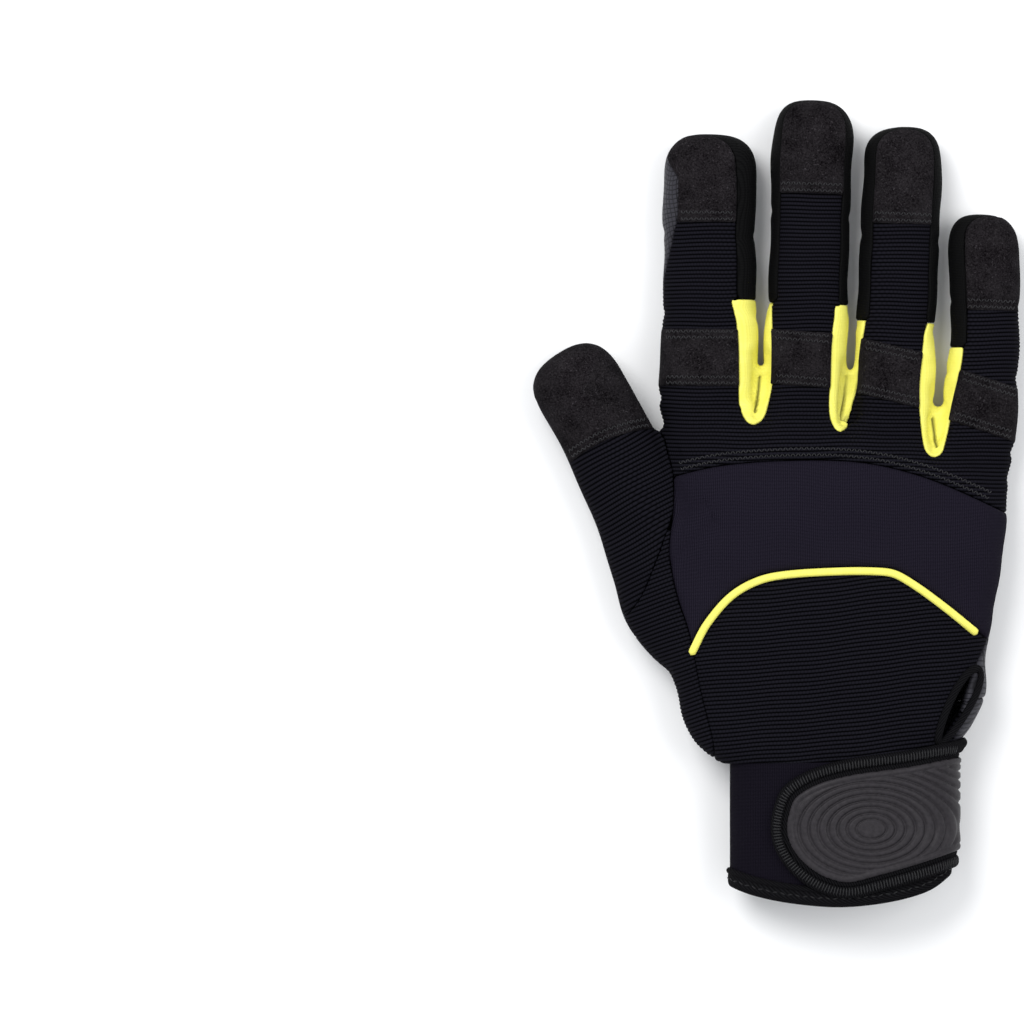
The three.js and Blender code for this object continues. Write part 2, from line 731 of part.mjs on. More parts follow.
piece(
  "thumb_tip_cap",
  suedePatch(placedThumb, thumbSections, {
    from: thumbCapFrom * thumb.reach,
    to: thumb.reach - 1,
    slant: 0.12,
    near: thumbHalf,
    far: thumbHalf,
  })
);

// The height of the palm form's back at a place in the plan.
function backHeight(x, y) {
  const at = y / palmLength;
  const oval = palmOval(at + (dropAt(x) / palmLength) * at ** 2);
  const waist = mix(wristHeight * 0.5 + cuffLift, palmHeight * 0.42, oval.lie);
  const c = Math.min(Math.abs(x - oval.x) / oval.half, 1) ** 1.25;
  return waist + (oval.top - waist) * Math.sqrt(1 - c * c) ** 0.85;
}

// Piping
function abovePoint(p, lift) {
  const step = 0.5;
  const here = backHeight(p.x, p.y);
  const slope = new THREE.Vector3(
    (backHeight(p.x - step, p.y) - backHeight(p.x + step, p.y)) / (2 * step),
    (backHeight(p.x, p.y - step) - backHeight(p.x, p.y + step)) / (2 * step),
    1
  ).normalize();
  return new THREE.Vector3(p.x, p.y, here).addScaledVector(slope, lift);
}
const pipingPath = new THREE.CatmullRomCurve3(seamPoints(pipingLine).map((p) => abovePoint(p, pipingClear)));
const pipingSection = new THREE.Shape();
pipingSection.absarc(0, 0, pipingRadius, 0, 2 * Math.PI);
piece(
  "piping",
  solidOf(new THREE.ExtrudeGeometry(pipingSection, { steps: 24, curveSegments: 3, extrudePath: pipingPath }))
);

// Cuff
const cuffWall = cuffForm(surface).subtract(cuffForm(hollow(backWall), backWall, hemLow - 2 * hemWidth));
piece("cuff_neoprene", cuffWall.intersect(aboveHem(hemWidth + seamGap)));
const hemInside = cuffForm(grown(-backWall - hemProud / 2), backWall, hemLow - 2 * hemWidth);
const hemRing = cuffForm(grown(hemProud)).subtract(hemInside);
piece("hem_binding", hemRing.intersect(aboveHem(0)).subtract(aboveHem(hemWidth)));

// The strap, over the cuff and the wrist seam
const handAndCuff = (by) => join([palmForm(grown(by), 0), cuffForm(grown(by), backWall)]);
const strapLine = cuffLine(strapEdge, 1);
const strapPlan = (inset) => movedLine(strapLine, inset);
const strapUnder = hemProud + trimGap;
const strapTop = strapUnder + strapThickness;
const strapWrap = mix(cuffLift, wristHeight, 0.3);
const strapLayer = (from, to, plan) =>
  handAndCuff(to).subtract(handAndCuff(from)).intersect(prism(plan, strapWrap, high));
piece(
  "strap_binding",
  strapLayer(strapUnder, strapTop + strapBindingProud, strapPlan(0)).subtract(
    prism(strapPlan(strapBindingWidth), -high, high)
  )
);
piece("strap_band", strapLayer(strapUnder, strapTop, strapPlan(strapBindingWidth + seamGap)));

// The moulded badge on the strap, with raised rings
const badgeFrom = strapTop + trimGap;
const badgeTo = badgeFrom + badgeThickness;
function ringPlan(half) {
  const points = [];
  for (let i = 0; i < ringSides; i++) {
    const angle = (2 * Math.PI * i) / ringSides;
    const x = wristShift + wristWidth * reliefMiddle.across + half * reliefStretch * Math.cos(angle);
    points.push(new THREE.Vector2(x, hemLow * reliefMiddle.along + half * Math.sin(angle)));
  }
  return points;
}
const badgeRings = [];
for (let i = 1; i <= reliefRings; i++) {
  const half = i * reliefPitch;
  const ring = strapLayer(badgeTo - badgeThickness / 2, badgeTo + reliefHeight, ringPlan(half));
  badgeRings.push(ring.subtract(prism(ringPlan(half - reliefWidth), -high, high)));
}
const badge = strapLayer(badgeFrom, badgeTo, strapPlan(strapBindingWidth + badgeMargin));
piece("strap_badge", join([badge, ...badgeRings]));

// The binding round the vent
const ventRing = prism(ventPlan(ventBindingWidth), seamHeight, high).subtract(vent);
const overPalm = palmForm(grown(trimGap + suedeThickness), 0).subtract(palmForm(grown(trimGap), backWall));
piece("vent_binding", overPalm.intersect(ventRing).subtract(prism(strapPlan(-seamGap), -high, high)));

// The pull patch under the cuff
const patchPlan = (low, top) =>
  [low, top].flatMap((y, i) => {
    const side = (i ? 1 : -1) * (pullPatchWidth / 2);
    return [new THREE.Vector2(wristShift + side, y), new THREE.Vector2(wristShift - side, y)];
  });
const underCuff = cuffForm(grown(trimGap + suedeThickness)).subtract(cuffForm(grown(trimGap), backWall));
const patch = prism(patchPlan(hemLow + hemWidth * 2, -seamGap * 2), -high, seamHeight);
piece("cuff_pull_patch", underCuff.intersect(patch).intersect(aboveHem(hemWidth + seamGap)));

// Colours
const finishes = {
  knit: { color: 0x0c0d14, roughness: 0.95 },
  suede: { color: 0x141414, roughness: 0.98 },
  neoprene: { color: 0x1b1a26, roughness: 0.85 },
  leather: { color: 0x37363e, roughness: 0.6 },
  lycra: { color: 0x0e0e10, roughness: 0.8 },
  bright: { color: 0xe8f03c, roughness: 0.7 },
  binding: { color: 0x0b0b0d, roughness: 0.9 },
  moulded: { color: 0x1e1d20, roughness: 0.5 },
};
const finishOf = (name) => {
  if (name.endsWith("_knit")) return "knit";
  if (name.endsWith("_leather")) return "leather";
  if (name.endsWith("_side_strip")) return "lycra";
  if (name.endsWith("_web") || name === "piping") return "bright";
  if (name.endsWith("_binding") || name === "strap_band") return "binding";
  if (name === "strap_badge") return "moulded";
  if (name === "knuckle_pad" || name === "cuff_neoprene") return "neoprene";
  return "suede";
};

function meshOf(name, made) {
  const got = made.getMesh();
  const geometry = new THREE.BufferGeometry();
  geometry.setAttribute("position", new THREE.BufferAttribute(new Float32Array(got.vertProperties), 3));
  geometry.setIndex(new THREE.BufferAttribute(new Uint32Array(got.triVerts), 1));
  geometry.computeVertexNormals();
  const mesh = new THREE.Mesh(geometry, new THREE.MeshStandardMaterial(finishes[finishOf(name)]));
  mesh.name = name;
  return mesh;
}

// The glove stands in the middle of its own box, on the surface.
const glove = new THREE.Group();
for (const [name, made] of nodes) glove.add(meshOf(name, made));
const box = new THREE.Box3().setFromObject(glove);
const middle = box.getCenter(new THREE.Vector3());
glove.position.set(-middle.x, -middle.y, -box.min.z);

export default glove;
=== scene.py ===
# %% [markdown]
# # A right-hand work glove
# The glove lies palm down on a pale table, as in the photograph's right half. It is sewn from about thirty
# panels. This lesson makes one smooth skin for the hand, cuts the skin along its seams into panels, and
# then adds the trims: suede, piping, strap, stitches. Sizes are in millimetres until a piece is made.

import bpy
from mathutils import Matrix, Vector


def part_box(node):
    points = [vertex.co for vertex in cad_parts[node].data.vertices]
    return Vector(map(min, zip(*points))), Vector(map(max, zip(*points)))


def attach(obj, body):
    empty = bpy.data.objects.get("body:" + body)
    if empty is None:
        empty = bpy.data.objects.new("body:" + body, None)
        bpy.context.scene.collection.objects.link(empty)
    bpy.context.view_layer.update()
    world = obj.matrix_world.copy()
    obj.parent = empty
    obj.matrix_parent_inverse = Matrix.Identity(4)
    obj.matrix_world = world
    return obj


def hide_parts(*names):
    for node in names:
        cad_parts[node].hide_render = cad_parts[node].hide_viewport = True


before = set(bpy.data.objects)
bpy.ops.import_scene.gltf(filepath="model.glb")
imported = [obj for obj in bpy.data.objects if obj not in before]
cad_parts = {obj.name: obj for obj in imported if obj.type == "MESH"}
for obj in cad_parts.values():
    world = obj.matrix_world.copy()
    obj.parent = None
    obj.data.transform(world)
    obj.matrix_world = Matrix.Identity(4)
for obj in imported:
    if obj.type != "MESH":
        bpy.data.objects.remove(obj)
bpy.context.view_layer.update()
print("solids in the frame:", len(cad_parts))

# %% Libraries
import math

import bpy
import numpy as np
from mathutils import Vector
from mathutils.bvhtree import BVHTree
from mathutils.kdtree import KDTree

# %% [markdown]
# ## The hand's measures
# The measures come from the solids' own tables. x runs across the hand from its middle, y from the wrist
# seam to the fingertips. The cuff's solid says where that corner of the glove lies on the table.

# %% Measures of the hand
palm_length = 108
palm_height = 30
wrist_width = 66.9
wrist_shift = 0.9
wrist_height = 27
cuff_lift = 1.8
cuff_length = 43.2
soft_sag = 1.3
seam_height = 10.5
seam_gap = 0.3
half_width = 53.15
web_reach = 33
tip_rim = -0.3
tip_gain = 1.2
MM = 0.001

cuff_low, cuff_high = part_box("cuff_neoprene")
hand_place = np.array([(cuff_low.x + cuff_high.x) / 2 / MM - wrist_shift, cuff_high.y / MM + seam_gap, 0])
print("the wrist seam's middle is at", hand_place.round(2))

# %% Tables of the fingers
# name, width, height, reach, lean, bow, taper, root x, near rim, far rim
finger_rows = [
    ("index", 28.9, 20.5, 82.8, 0, 0, 1.01, 2.6, 7.3, 1.2),
    ("middle", 25.4, 20.5, 94.2, 2, 0, 0.97, 3, 3.2, 2),
    ("ring", 25, 19.5, 91.3, 2.3, 0, 0.98, 3.6, 3.2, 0.4),
    ("little", 22.8, 18, 72.8, 2.2, 2.3, 0.94, 5.2, 2.4, 0),
]
# share of the reach, width, height
finger_sections = np.array([
    [0, 1.09, 1.04], [0.13, 1.07, 1.02], [0.28, 1, 1], [0.65, 0.98, 0.96], [0.9, 0.97, 0.93],
])
thumb_sections = np.array([
    [-0.08, 1, 1], [0.06, 1.42, 1.14], [0.2, 1.58, 1.18], [0.34, 1.36, 1.12],
    [0.5, 1.12, 1.04], [0.66, 1.02, 1], [0.8, 0.95, 0.95], [0.9, 0.95, 0.94],
])
palm_sections = np.array([
    [0, 0.14, 0, 0], [0.04, 0.42, 0.05, 0.12], [0.11, 0.66, 0.36, 0.4], [0.2, 0.78, 0.58, 0.8],
    [0.32, 0.98, 0.6, 1], [0.46, 0.98, 0.68, 1.05], [0.6, 0.94, 0.8, 0.8], [0.77, 0.93, 0.9, 0.1],
    [0.94, 1, 0.99, -1.9],
])


def smooth_read(at, xs, ys):
    """Reads a table at places, in smooth steps between its rows."""
    xs, ys = np.asarray(xs, float), np.asarray(ys, float)
    at = np.asarray(at, float)
    slope = np.gradient(ys, xs)
    i = np.clip(np.searchsorted(xs, at) - 1, 0, len(xs) - 2)
    step = xs[i + 1] - xs[i]
    t = np.clip((at - xs[i]) / step, 0, 1)
    rise = (2 * t**3 - 3 * t**2 + 1) * ys[i] + (-2 * t**3 + 3 * t**2) * ys[i + 1]
    return rise + ((t**3 - 2 * t**2 + t) * slope[i] + (t**3 - t**2) * slope[i + 1]) * step


def drop_at(x):
    """How much lower the knuckle line lies at a place across the hand."""
    return 10.6 * np.maximum((x + half_width / 2) / (half_width * 1.07), 0) ** 1.8


class Digit:
    """A finger or the thumb: its sizes, and its own coordinates along and across its middle line."""

    def __init__(self, name, width, height, reach, lean, bow, taper, root, rims=(0, 0)):
        self.name, self.width, self.height, self.reach = name, width, height, reach
        self.turn, self.bow, self.taper = math.radians(lean), bow, taper
        self.root = root
        self.near, self.far = width / 2 - rims[0], width / 2 - rims[1]
        self.neighbours = [(0, 0), (0, 0)]

    def coordinates(self, x, y):
        dx, dy = x - self.root[0], y - self.root[1]
        along = dx * math.sin(self.turn) + dy * math.cos(self.turn)
        bend = self.bow * np.sin(np.pi * np.clip(along / self.reach, 0, 1))
        return along, dx * math.cos(self.turn) - dy * math.sin(self.turn) - bend

    def place(self, along, across):
        side = across + self.bow * np.sin(np.pi * np.clip(along / self.reach, 0, 1))
        x = self.root[0] + along * math.sin(self.turn) + side * math.cos(self.turn)
        return x, self.root[1] + along * math.cos(self.turn) - side * math.sin(self.turn)


fingers = []
edge = -half_width + 0.3
for name, width, height, reach, lean, bow, taper, near, far, gap in finger_rows:
    middle = edge + width / 2
    root = (middle, palm_length - float(drop_at(middle)))
    fingers.append(Digit(name, width, height, reach, lean, bow, taper, root, (near, far)))
    edge += width + gap
# for each web, where the gap between the fingers opens, and how much its half is narrowed
web_opens = ((120.3, 0.8), (120.3, 0.95), (109, 0.45))
for i, (opens, closer) in enumerate(web_opens):
    left, right = fingers[i], fingers[i + 1]
    half_gap = finger_rows[i][-1] / 2 - closer
    left.neighbours[1] = (opens - left.root[1], left.width / 2 + half_gap)
    right.neighbours[0] = (opens - right.root[1], right.width / 2 + half_gap)
thumb = Digit("thumb", 28.5, 21, 100, -29.1, 0, 1, (-34.8, 36.4))
print("fingers start at x", [round(f.root[0], 1) for f in fingers])

# %% [markdown]
# ## The skin
# A glove's hand is one soft form, so it starts as one mesh. Each finger is a loft of ovals, round above
# and flat below where it lies. The lofts and the palm are then remeshed into a single skin, and a few
# smoothing steps round off the creases where they meet, as cloth does.

# %% Lofts
around = 72


def oval(x, y, turn, half, waist, top, bottom, floor, count=around):
    """The points of a flattened oval, round above its waist and flat below."""
    angle = np.linspace(0, 2 * np.pi, count, endpoint=False)
    c, s = np.cos(angle), np.sin(angle)
    across = half * np.sign(c) * np.abs(c) ** 0.8
    reach = np.where(s > 0, top - waist, waist - bottom)
    rise = reach * np.sign(s) * np.abs(s) ** np.where(s > 0, 0.85, 0.7)
    z = np.maximum(waist + rise, floor)
    return np.column_stack([x + across * math.cos(turn), y - across * math.sin(turn), z])


def kept_apart(digit, along, ring):
    """Flattens a finger's side beside its neighbour, so that the gap between them opens at the web."""
    across = digit.coordinates(ring[:, 0], ring[:, 1])[1]
    for way, (opens, limit) in zip((-1, 1), digit.neighbours):
        if limit:
            limit += 2.5 * min(max(opens + 1 - along, 0) / 3, 1)
            across = np.where(across * way > 0, way * np.minimum(across * way, limit), across)
    x, y = digit.place(along, across)
    return np.column_stack([x, y, ring[:, 2]])


def digit_rings(digit, sections, start, start_shares):
    """Rings from the palm to the round tip."""
    rings = []
    round_from = digit.reach - digit.width / 2
    straight = np.linspace(sections[0, 0] * digit.reach, round_from, 40)
    tip = digit.reach - digit.width / 2 * (1 - np.sin(np.linspace(0, np.pi / 2, 22)[1:]))
    gain = np.linspace(0, tip_gain, len(tip))
    for along in [start, *straight, *tip]:
        share = along / digit.reach
        if along < straight[0]:
            width, height = start_shares
        else:
            width = smooth_read(share, sections[:, 0], sections[:, 1])
            height = smooth_read(share, sections[:, 0], sections[:, 2])
        left = max(1 - (digit.reach - along) / (digit.width / 2), 0)
        width = width * max(1 - left**3, 0) ** (1 / 3) + 1e-3
        height = height * max(1 - left**2.5, 0) ** 0.4 + 1e-3
        waist = digit.height * 0.47
        taper = 1 + (digit.taper - 1) * max(share, 0)
        if along >= tip[0]:
            along += float(np.interp(along, tip, gain))
        x, y = digit.place(along, 0)
        top = waist + (digit.height - waist) * height
        bottom = waist - (waist + soft_sag) * min(height, 1)
        ring = oval(x, y, digit.turn, digit.width / 2 * width * taper, waist, top, bottom, 0)
        rings.append(kept_apart(digit, along, ring))
    return rings


def palm_rings():
    rings = []
    for at in [*np.linspace(0, 0.94, 60), 0.955, 0.97, 0.982, 0.992, 1.0, 1.007, 1.012, 1.015]:
        inside = min(at, 0.94)
        near, far, lift = (smooth_read(inside, palm_sections[:, 0], palm_sections[:, k]) for k in (1, 2, 3))
        rise = smooth_read(max(at, 0.94), [0.94, 0.98, 1.015], [1, 0.74, 0.4])
        low = (1 - near) * (wrist_shift - wrist_width / 2) - near * half_width
        wide = (1 - far) * (wrist_shift + wrist_width / 2) + far * half_width
        top = wrist_height + cuff_lift + (palm_height - wrist_height - cuff_lift) * lift
        lie = min(at / 0.2, 1)
        waist = (wrist_height / 2 + cuff_lift) * (1 - lie) + palm_height * 0.42 * lie
        lowest = cuff_lift * (1 - lie) - soft_sag * lie
        half = (wide - low) / 2 - (1 - rise) * palm_height * 0.1
        top = waist + (top - waist) * rise
        bottom = waist - (waist - lowest) * rise
        floor = cuff_lift * (1 - lie)
        ring = oval((low + wide) / 2, at * palm_length, 0, half, waist, top, bottom, floor, 160)
        ring[:, 1] -= drop_at(ring[:, 0]) * at**2
        rings.append(ring)
    return rings


def loft_mesh(name, lofts):
    """One mesh of several closed lofts."""
    points, faces, first = [], [], 0
    for rings in lofts:
        count = len(rings[0])
        points.append(np.vstack(rings))
        for r in range(len(rings) - 1):
            row = first + r * count
            for i in range(count):
                j = (i + 1) % count
                faces.append((row + i, row + j, row + count + j, row + count + i))
        faces.append(tuple(range(first + count - 1, first - 1, -1)))
        last = first + (len(rings) - 1) * count
        faces.append(tuple(range(last, last + count)))
        first = last + count
    mesh = bpy.data.meshes.new(name)
    mesh.from_pydata(np.vstack(points).tolist(), [], faces)
    return mesh


hand_lofts = [palm_rings(), digit_rings(thumb, thumb_sections, -8, (1, 1))]
hand_lofts += [digit_rings(f, finger_sections, -24, (0.75, 0.5)) for f in fingers]
print("rings in the hand:", sum(len(rings) for rings in hand_lofts))

# %% Remeshing
class Patch:
    """A piece of skin: its points, triangles, and values that each point carries."""

    def __init__(self, points, tris, **values):
        self.points, self.tris, self.values = points, tris, values


def face_normals(points, tris):
    a, b, c = (points[tris[:, k]] for k in range(3))
    return np.cross(b - a, c - a)


def point_normals(points, tris):
    normals = np.zeros_like(points)
    flat = face_normals(points, tris)
    for k in range(3):
        for axis in range(3):
            normals[:, axis] += np.bincount(tris[:, k], flat[:, axis], len(points))
    return normals / np.maximum(np.linalg.norm(normals, axis=1), 1e-9)[:, None]


def skin_of(name, lofts, voxel, smoothing):
    """Lofts joined into one smooth skin."""
    holder = bpy.data.objects.new(name, loft_mesh(name, lofts))
    bpy.context.scene.collection.objects.link(holder)
    remesh = holder.modifiers.new("Remesh", "REMESH")
    remesh.mode, remesh.voxel_size, remesh.adaptivity = "VOXEL", voxel, 0
    smooth = holder.modifiers.new("Smooth", "SMOOTH")
    smooth.factor, smooth.iterations = 0.5, smoothing
    graph = bpy.context.evaluated_depsgraph_get()
    mesh = bpy.data.meshes.new_from_object(holder.evaluated_get(graph))
    mesh.calc_loop_triangles()
    points = np.empty(len(mesh.vertices) * 3)
    mesh.vertices.foreach_get("co", points)
    tris = np.empty(len(mesh.loop_triangles) * 3, np.int64)
    mesh.loop_triangles.foreach_get("vertices", tris)
    bpy.data.objects.remove(holder)
    points, tris = points.reshape(-1, 3), tris.reshape(-1, 3)
    volume = np.einsum("ij,ij->i", face_normals(points, tris), points[tris[:, 0]]).sum()
    if volume < 0:
        tris = tris[:, ::-1]
    return Patch(points, tris)


skin = skin_of("hand_form", hand_lofts, 0.85, 14)
print("hand skin:", len(skin.points), "points", len(skin.tris), "triangles")
print("from", skin.points.min(0).round(1), "to", skin.points.max(0).round(1))

# %% [markdown]
# ## Soft steps
# Behind each web the palm's loft ends in a steep step down to the gap between two fingers. Many small
# rounds of smoothing, only near those places, turn the step into a slope, as a stretched web does.

# %% Softening the steps behind the webs
def soften(patch, weight, times):
    """Draws each point towards its neighbours' middle, as far as its weight says."""
    starts = patch.tris.ravel()
    ends = patch.tris[:, [1, 2, 0]].ravel()
    points = patch.points.copy()
    size = len(points)
    count = np.bincount(starts, minlength=size) + np.bincount(ends, minlength=size)
    for _ in range(times):
        for axis in range(3):
            value = points[:, axis]
            total = np.bincount(starts, value[ends], size) + np.bincount(ends, value[starts], size)
            points[:, axis] = value + 0.5 * weight * (total / count - value)
    patch.points = points


x, y, z = skin.points.T
weight = np.zeros(len(x))
for step_x, step_y in ((-24.5, 107.5), (2, 104), (30, 96.5)):
    weight = np.maximum(weight, np.exp(-((x - step_x) ** 2 + (y - step_y) ** 2) / 5.5**2))
soften(skin, weight * np.clip((z - seam_height) / 2, 0, 1), 90)
print("points near the steps:", int((weight > 0.1).sum()))

# %% [markdown]
# ## Soft folds
# Cloth is never an exact loft. Before the skin is cut, points are moved a little along its normals:
# valleys between the fingers where the bright webs are sewn in, creases where a joint bends, and a slow
# waviness all over.

# %% Distances in the plan
def line_distance(x, y, line):
    """Distance in the plan from points to a line, positive on the line's left."""
    best = np.full(len(x), 1e9)
    side = np.ones(len(x))
    for (ax, ay), (bx, by) in zip(line[:-1], line[1:]):
        dx, dy = bx - ax, by - ay
        long = dx * dx + dy * dy
        t = np.clip(((x - ax) * dx + (y - ay) * dy) / long, 0, 1)
        away = np.hypot(x - ax - t * dx, y - ay - t * dy)
        nearer = away < best - 1e-9
        turn = dx * (y - ay) - dy * (x - ax)
        best = np.where(nearer, away, best)
        side = np.where(nearer, np.where(turn >= 0, 1.0, -1.0), side)
    return best * side


def valley(x, y, line, width):
    """A soft groove along a line in the plan: 1 on the line, falling to 0 beside it and past its ends."""
    return np.exp(-((line_distance(x, y, line) / width) ** 2))


def web_line(i, start, end):
    """The middle of the space between two fingers."""
    left, right = fingers[i], fingers[i + 1]
    line = []
    for along in np.linspace(start, end, 8):
        a, b = left.place(along, left.width / 2), right.place(along, -right.width / 2)
        line.append(((a[0] + b[0]) / 2, (a[1] + b[1]) / 2))
    return line


# %% Moving the skin
x, y, z = skin.points.T
finger_at = [f.coordinates(x, y) for f in fingers]
thumb_at = thumb.coordinates(x, y)
beyond_side = [np.abs(across) - f.width / 2 for f, (along, across) in zip(fingers, finger_at)]
nearest = np.argmin(beyond_side, axis=0)
above = np.clip((z - seam_height) / 4, 0, 1)
below = 1 - above
web_folds = [
    [(-23.4, 117.5), (-23.8, 113), (-24.7, 107.1)],
    [(3.2, 117.5), (2.6, 112), (1.5, 104.8)],
    [(29.4, 104.8), (29.7, 101), (30.1, 96.6)],
]
move = np.zeros(len(x))
for i in range(3):
    move -= above * 1.8 * valley(x, y, web_line(i, -3.5, 16), 3.0)
    move -= above * 1.2 * valley(x, y, web_folds[i], 1.2)
    move -= below * 1.3 * valley(x, y, web_line(i, -6, 12), 2.2)
for f, (along, across) in zip(fingers, finger_at):
    mine = np.abs(across) < f.width / 2 + 2
    for share, depth in ((0.36, 0.35), (0.62, 0.3)):
        fold = np.exp(-(((along - share * f.reach - 0.04 * across) / 1.6) ** 2))
        move -= np.where(mine, above * depth * fold, 0)
    for share, depth in ((0.03, 0.8), (0.34, 0.45), (0.64, 0.4)):
        fold = np.exp(-(((along - share * f.reach + 0.05 * across) / 1.5) ** 2))
        move -= np.where(mine, below * depth * fold, 0)
for share, depth, slope in ((0.30, 0.5, 0.25), (0.42, 0.4, -0.15), (0.56, 0.35, 0.1)):
    along, across = thumb_at
    fold = np.exp(-(((along - share * thumb.reach - slope * across) / 2.2) ** 2))
    move -= np.where((np.abs(across) < 17) & (x < -34), above * depth * fold, 0)
waves = (
    (0.061, 0.023, 0.3), (0.021, -0.067, 1.7), (0.13, 0.041, 4.1), (-0.043, 0.115, 2.2), (0.09, 0.17, 5.0),
)
for kx, ky, phase in waves:
    move += 0.16 * np.sin(kx * x * 2 + ky * y * 2 + phase)
flat = z < 0.15
moved = skin.points + point_normals(skin.points, skin.tris) * move[:, None]
moved[:, 2] = np.where(flat & (moved[:, 2] < 0.15), 0.02, np.maximum(moved[:, 2], 0.02))
skin.points = moved
normals = point_normals(skin.points, skin.tris)
print("folds move the skin by up to", abs(move).max().round(2), "mm")

# %% [markdown]
# ## Where the panels meet
# Each panel is a region of the skin. A region is a number at every point: positive inside, zero on the
# seam. The smaller of two numbers is where both regions hold, and the larger is where either does.

# %% Regions of the fingers
x, y, z = skin.points.T
finger_at = [f.coordinates(x, y) for f in fingers]
thumb_at = thumb.coordinates(x, y)


def rounded_box(a, b, a_range, b_range, round_by):
    """How far inside a rounded rectangle a point lies."""
    a_half, b_half = (a_range[1] - a_range[0]) / 2, (b_range[1] - b_range[0]) / 2
    qa = np.abs(a - sum(a_range) / 2) - (a_half - round_by)
    qb = np.abs(b - sum(b_range) / 2) - (b_half - round_by)
    return round_by - np.hypot(np.maximum(qa, 0), np.maximum(qb, 0)) - np.minimum(np.maximum(qa, qb), 0)


def finger_back(f, at, z):
    """The back of a finger, inside its side strips."""
    along, across = at
    lean = 0.42 * (z - 17) + 4 * np.clip((web_reach + 1 - along) / 2, 0, 1)
    across = np.sign(across) * np.maximum(np.abs(across) - lean, 0)
    # the palm's leather shows as a narrow strip on the outer side of the index finger, beside its cap
    if f is fingers[0]:
        strip = np.interp(along, [36, 50, 58, 70, 76], [-6, -1, 2.2, 2.4, -3])
        across = np.where(across < 0, np.minimum(across - strip, 0), across)
    if f is fingers[3]:
        across = np.where(across > 0, np.maximum(across - 6, 0), across)
    return rounded_box(across, along, (-f.near, f.far), (-24, f.reach - tip_rim), f.width * 0.27)


def finger_front(f, at, near_open, far_open):
    half = f.width / 2 - 2.6
    near = -f.width if near_open else -half
    far = f.width if far_open else half
    return rounded_box(at[1], at[0], (near, far), (-60, f.reach - 1.8), f.width * 0.36)


def spline(points, steps=12):
    """A smooth line through points in the plan."""
    p = np.array(points, float)
    at = np.arange(len(p))
    fine = np.linspace(0, len(p) - 1, (len(p) - 1) * steps + 1)
    return np.column_stack([smooth_read(fine, at, p[:, 0]), smooth_read(fine, at, p[:, 1])])


def seam(rows):
    return spline([(across * half_width, at * palm_length) for across, at in rows])


# %% Seams
knuckle_seam = seam([
    (-1.1, 0.78), (-0.95, 0.806), (-0.6, 0.842), (0, 0.852), (0.45, 0.812), (0.95, 0.71), (1.15, 0.65),
])
piping_line = seam([
    (-0.835, 0.306), (-0.815, 0.327), (-0.745, 0.393), (-0.613, 0.469), (-0.459, 0.514), (-0.278, 0.532),
    (0.032, 0.541), (0.233, 0.54), (0.309, 0.535), (0.365, 0.522), (0.472, 0.488), (0.627, 0.431),
    (0.79, 0.366),
])
off_both_sides = np.array([(-1.2, 0.1), (1.2, 0.2)]) * [half_width, palm_length]
piping_seam = np.vstack([off_both_sides[0], piping_line, off_both_sides[1]])
palm_pad_seam = seam([
    (-1.06, 1.4), (-1.035, 1.02), (-0.97, 0.9), (-0.8, 0.815), (-0.68, 0.74), (-0.65, 0.58), (-0.62, 0.35),
    (-0.54, 0.23), (-0.38, 0.17), (-0.1, 0.13), (0.43, 0.135), (0.82, 0.18), (1.15, 0.2),
])
thumb_pad_seam = seam([(-1.5, 0.25), (-1.03, 0.4), (-0.84, 0.51), (-0.6, 0.68)])
thumb_seam = seam([(-1.7, 0.36), (-1.2, 0.42), (-0.9, 0.75)])
back_near = [
    (-0.7, -0.02), (-0.719, 0.068), (-0.788, 0.208), (-0.845, 0.354), (-0.907, 0.455), (-0.948, 0.544),
    (-0.96, 0.62), (-0.935, 0.71), (-0.937, 0.8), (-0.968, 0.87), (-1.0, 0.925), (-1.05, 0.95),
    (-1.14, 0.97), (-1.2, 1.1),
]
back_far = [
    (0.68, -0.02), (0.76, 0.12), (0.83, 0.25), (0.94, 0.36), (1.0, 0.5), (1.06, 0.76), (1.12, 0.96),
    (1.12, 1.1),
]


def dropped(line):
    """A line that follows the slanting row of knuckles."""
    line = np.array(line, float)
    line[:, 1] -= drop_at(line[:, 0]) * np.clip(line[:, 1] / palm_length, 0, 1) ** 2
    return line


# Each bright web shows on the back as a narrow U. Its outline starts at the upper left.
web_outlines = [
    [(-33.3, 143.4), (-30.8, 135.5), (-30.1, 127.2), (-29.9, 116.1), (-29.7, 109.2), (-28.8, 106.1),
     (-27.3, 104), (-25.5, 103.2), (-23.6, 104), (-22.1, 106.4), (-21.1, 110.1), (-20, 116.1), (-19.8, 127.2),
     (-20.1, 135.5), (-20, 144.9)],
    [(0, 144.9), (-0.7, 135.5), (-1.8, 127.2), (-2.1, 116.1), (-2.3, 106.7), (-1.5, 103.4), (-0.3, 101.6),
     (1.2, 101), (2.7, 102.2), (3.7, 104.6), (4.5, 107.9), (6.1, 116.1), (7.3, 127.2), (8.5, 135.5),
     (9.1, 144.9)],
    [(29.7, 138.9), (27, 131.3), (26.4, 127.2), (25.2, 118.9), (24.9, 110.7), (25.7, 102.5), (26.4, 97),
     (27.3, 94.6), (29.1, 93.4), (30.9, 94), (32.2, 96.1), (33.4, 101), (35.1, 109.3), (37.2, 118.9),
     (38.1, 125.8), (37.9, 134.6)],
]


# %% [markdown]
# The back's region ends low on the two outer sides of the hand, at the thumb's root, and round each web.
# The front's region is the palm with the fingers' fronts. What lies between the two is the side, which
# the strips and the webs share.

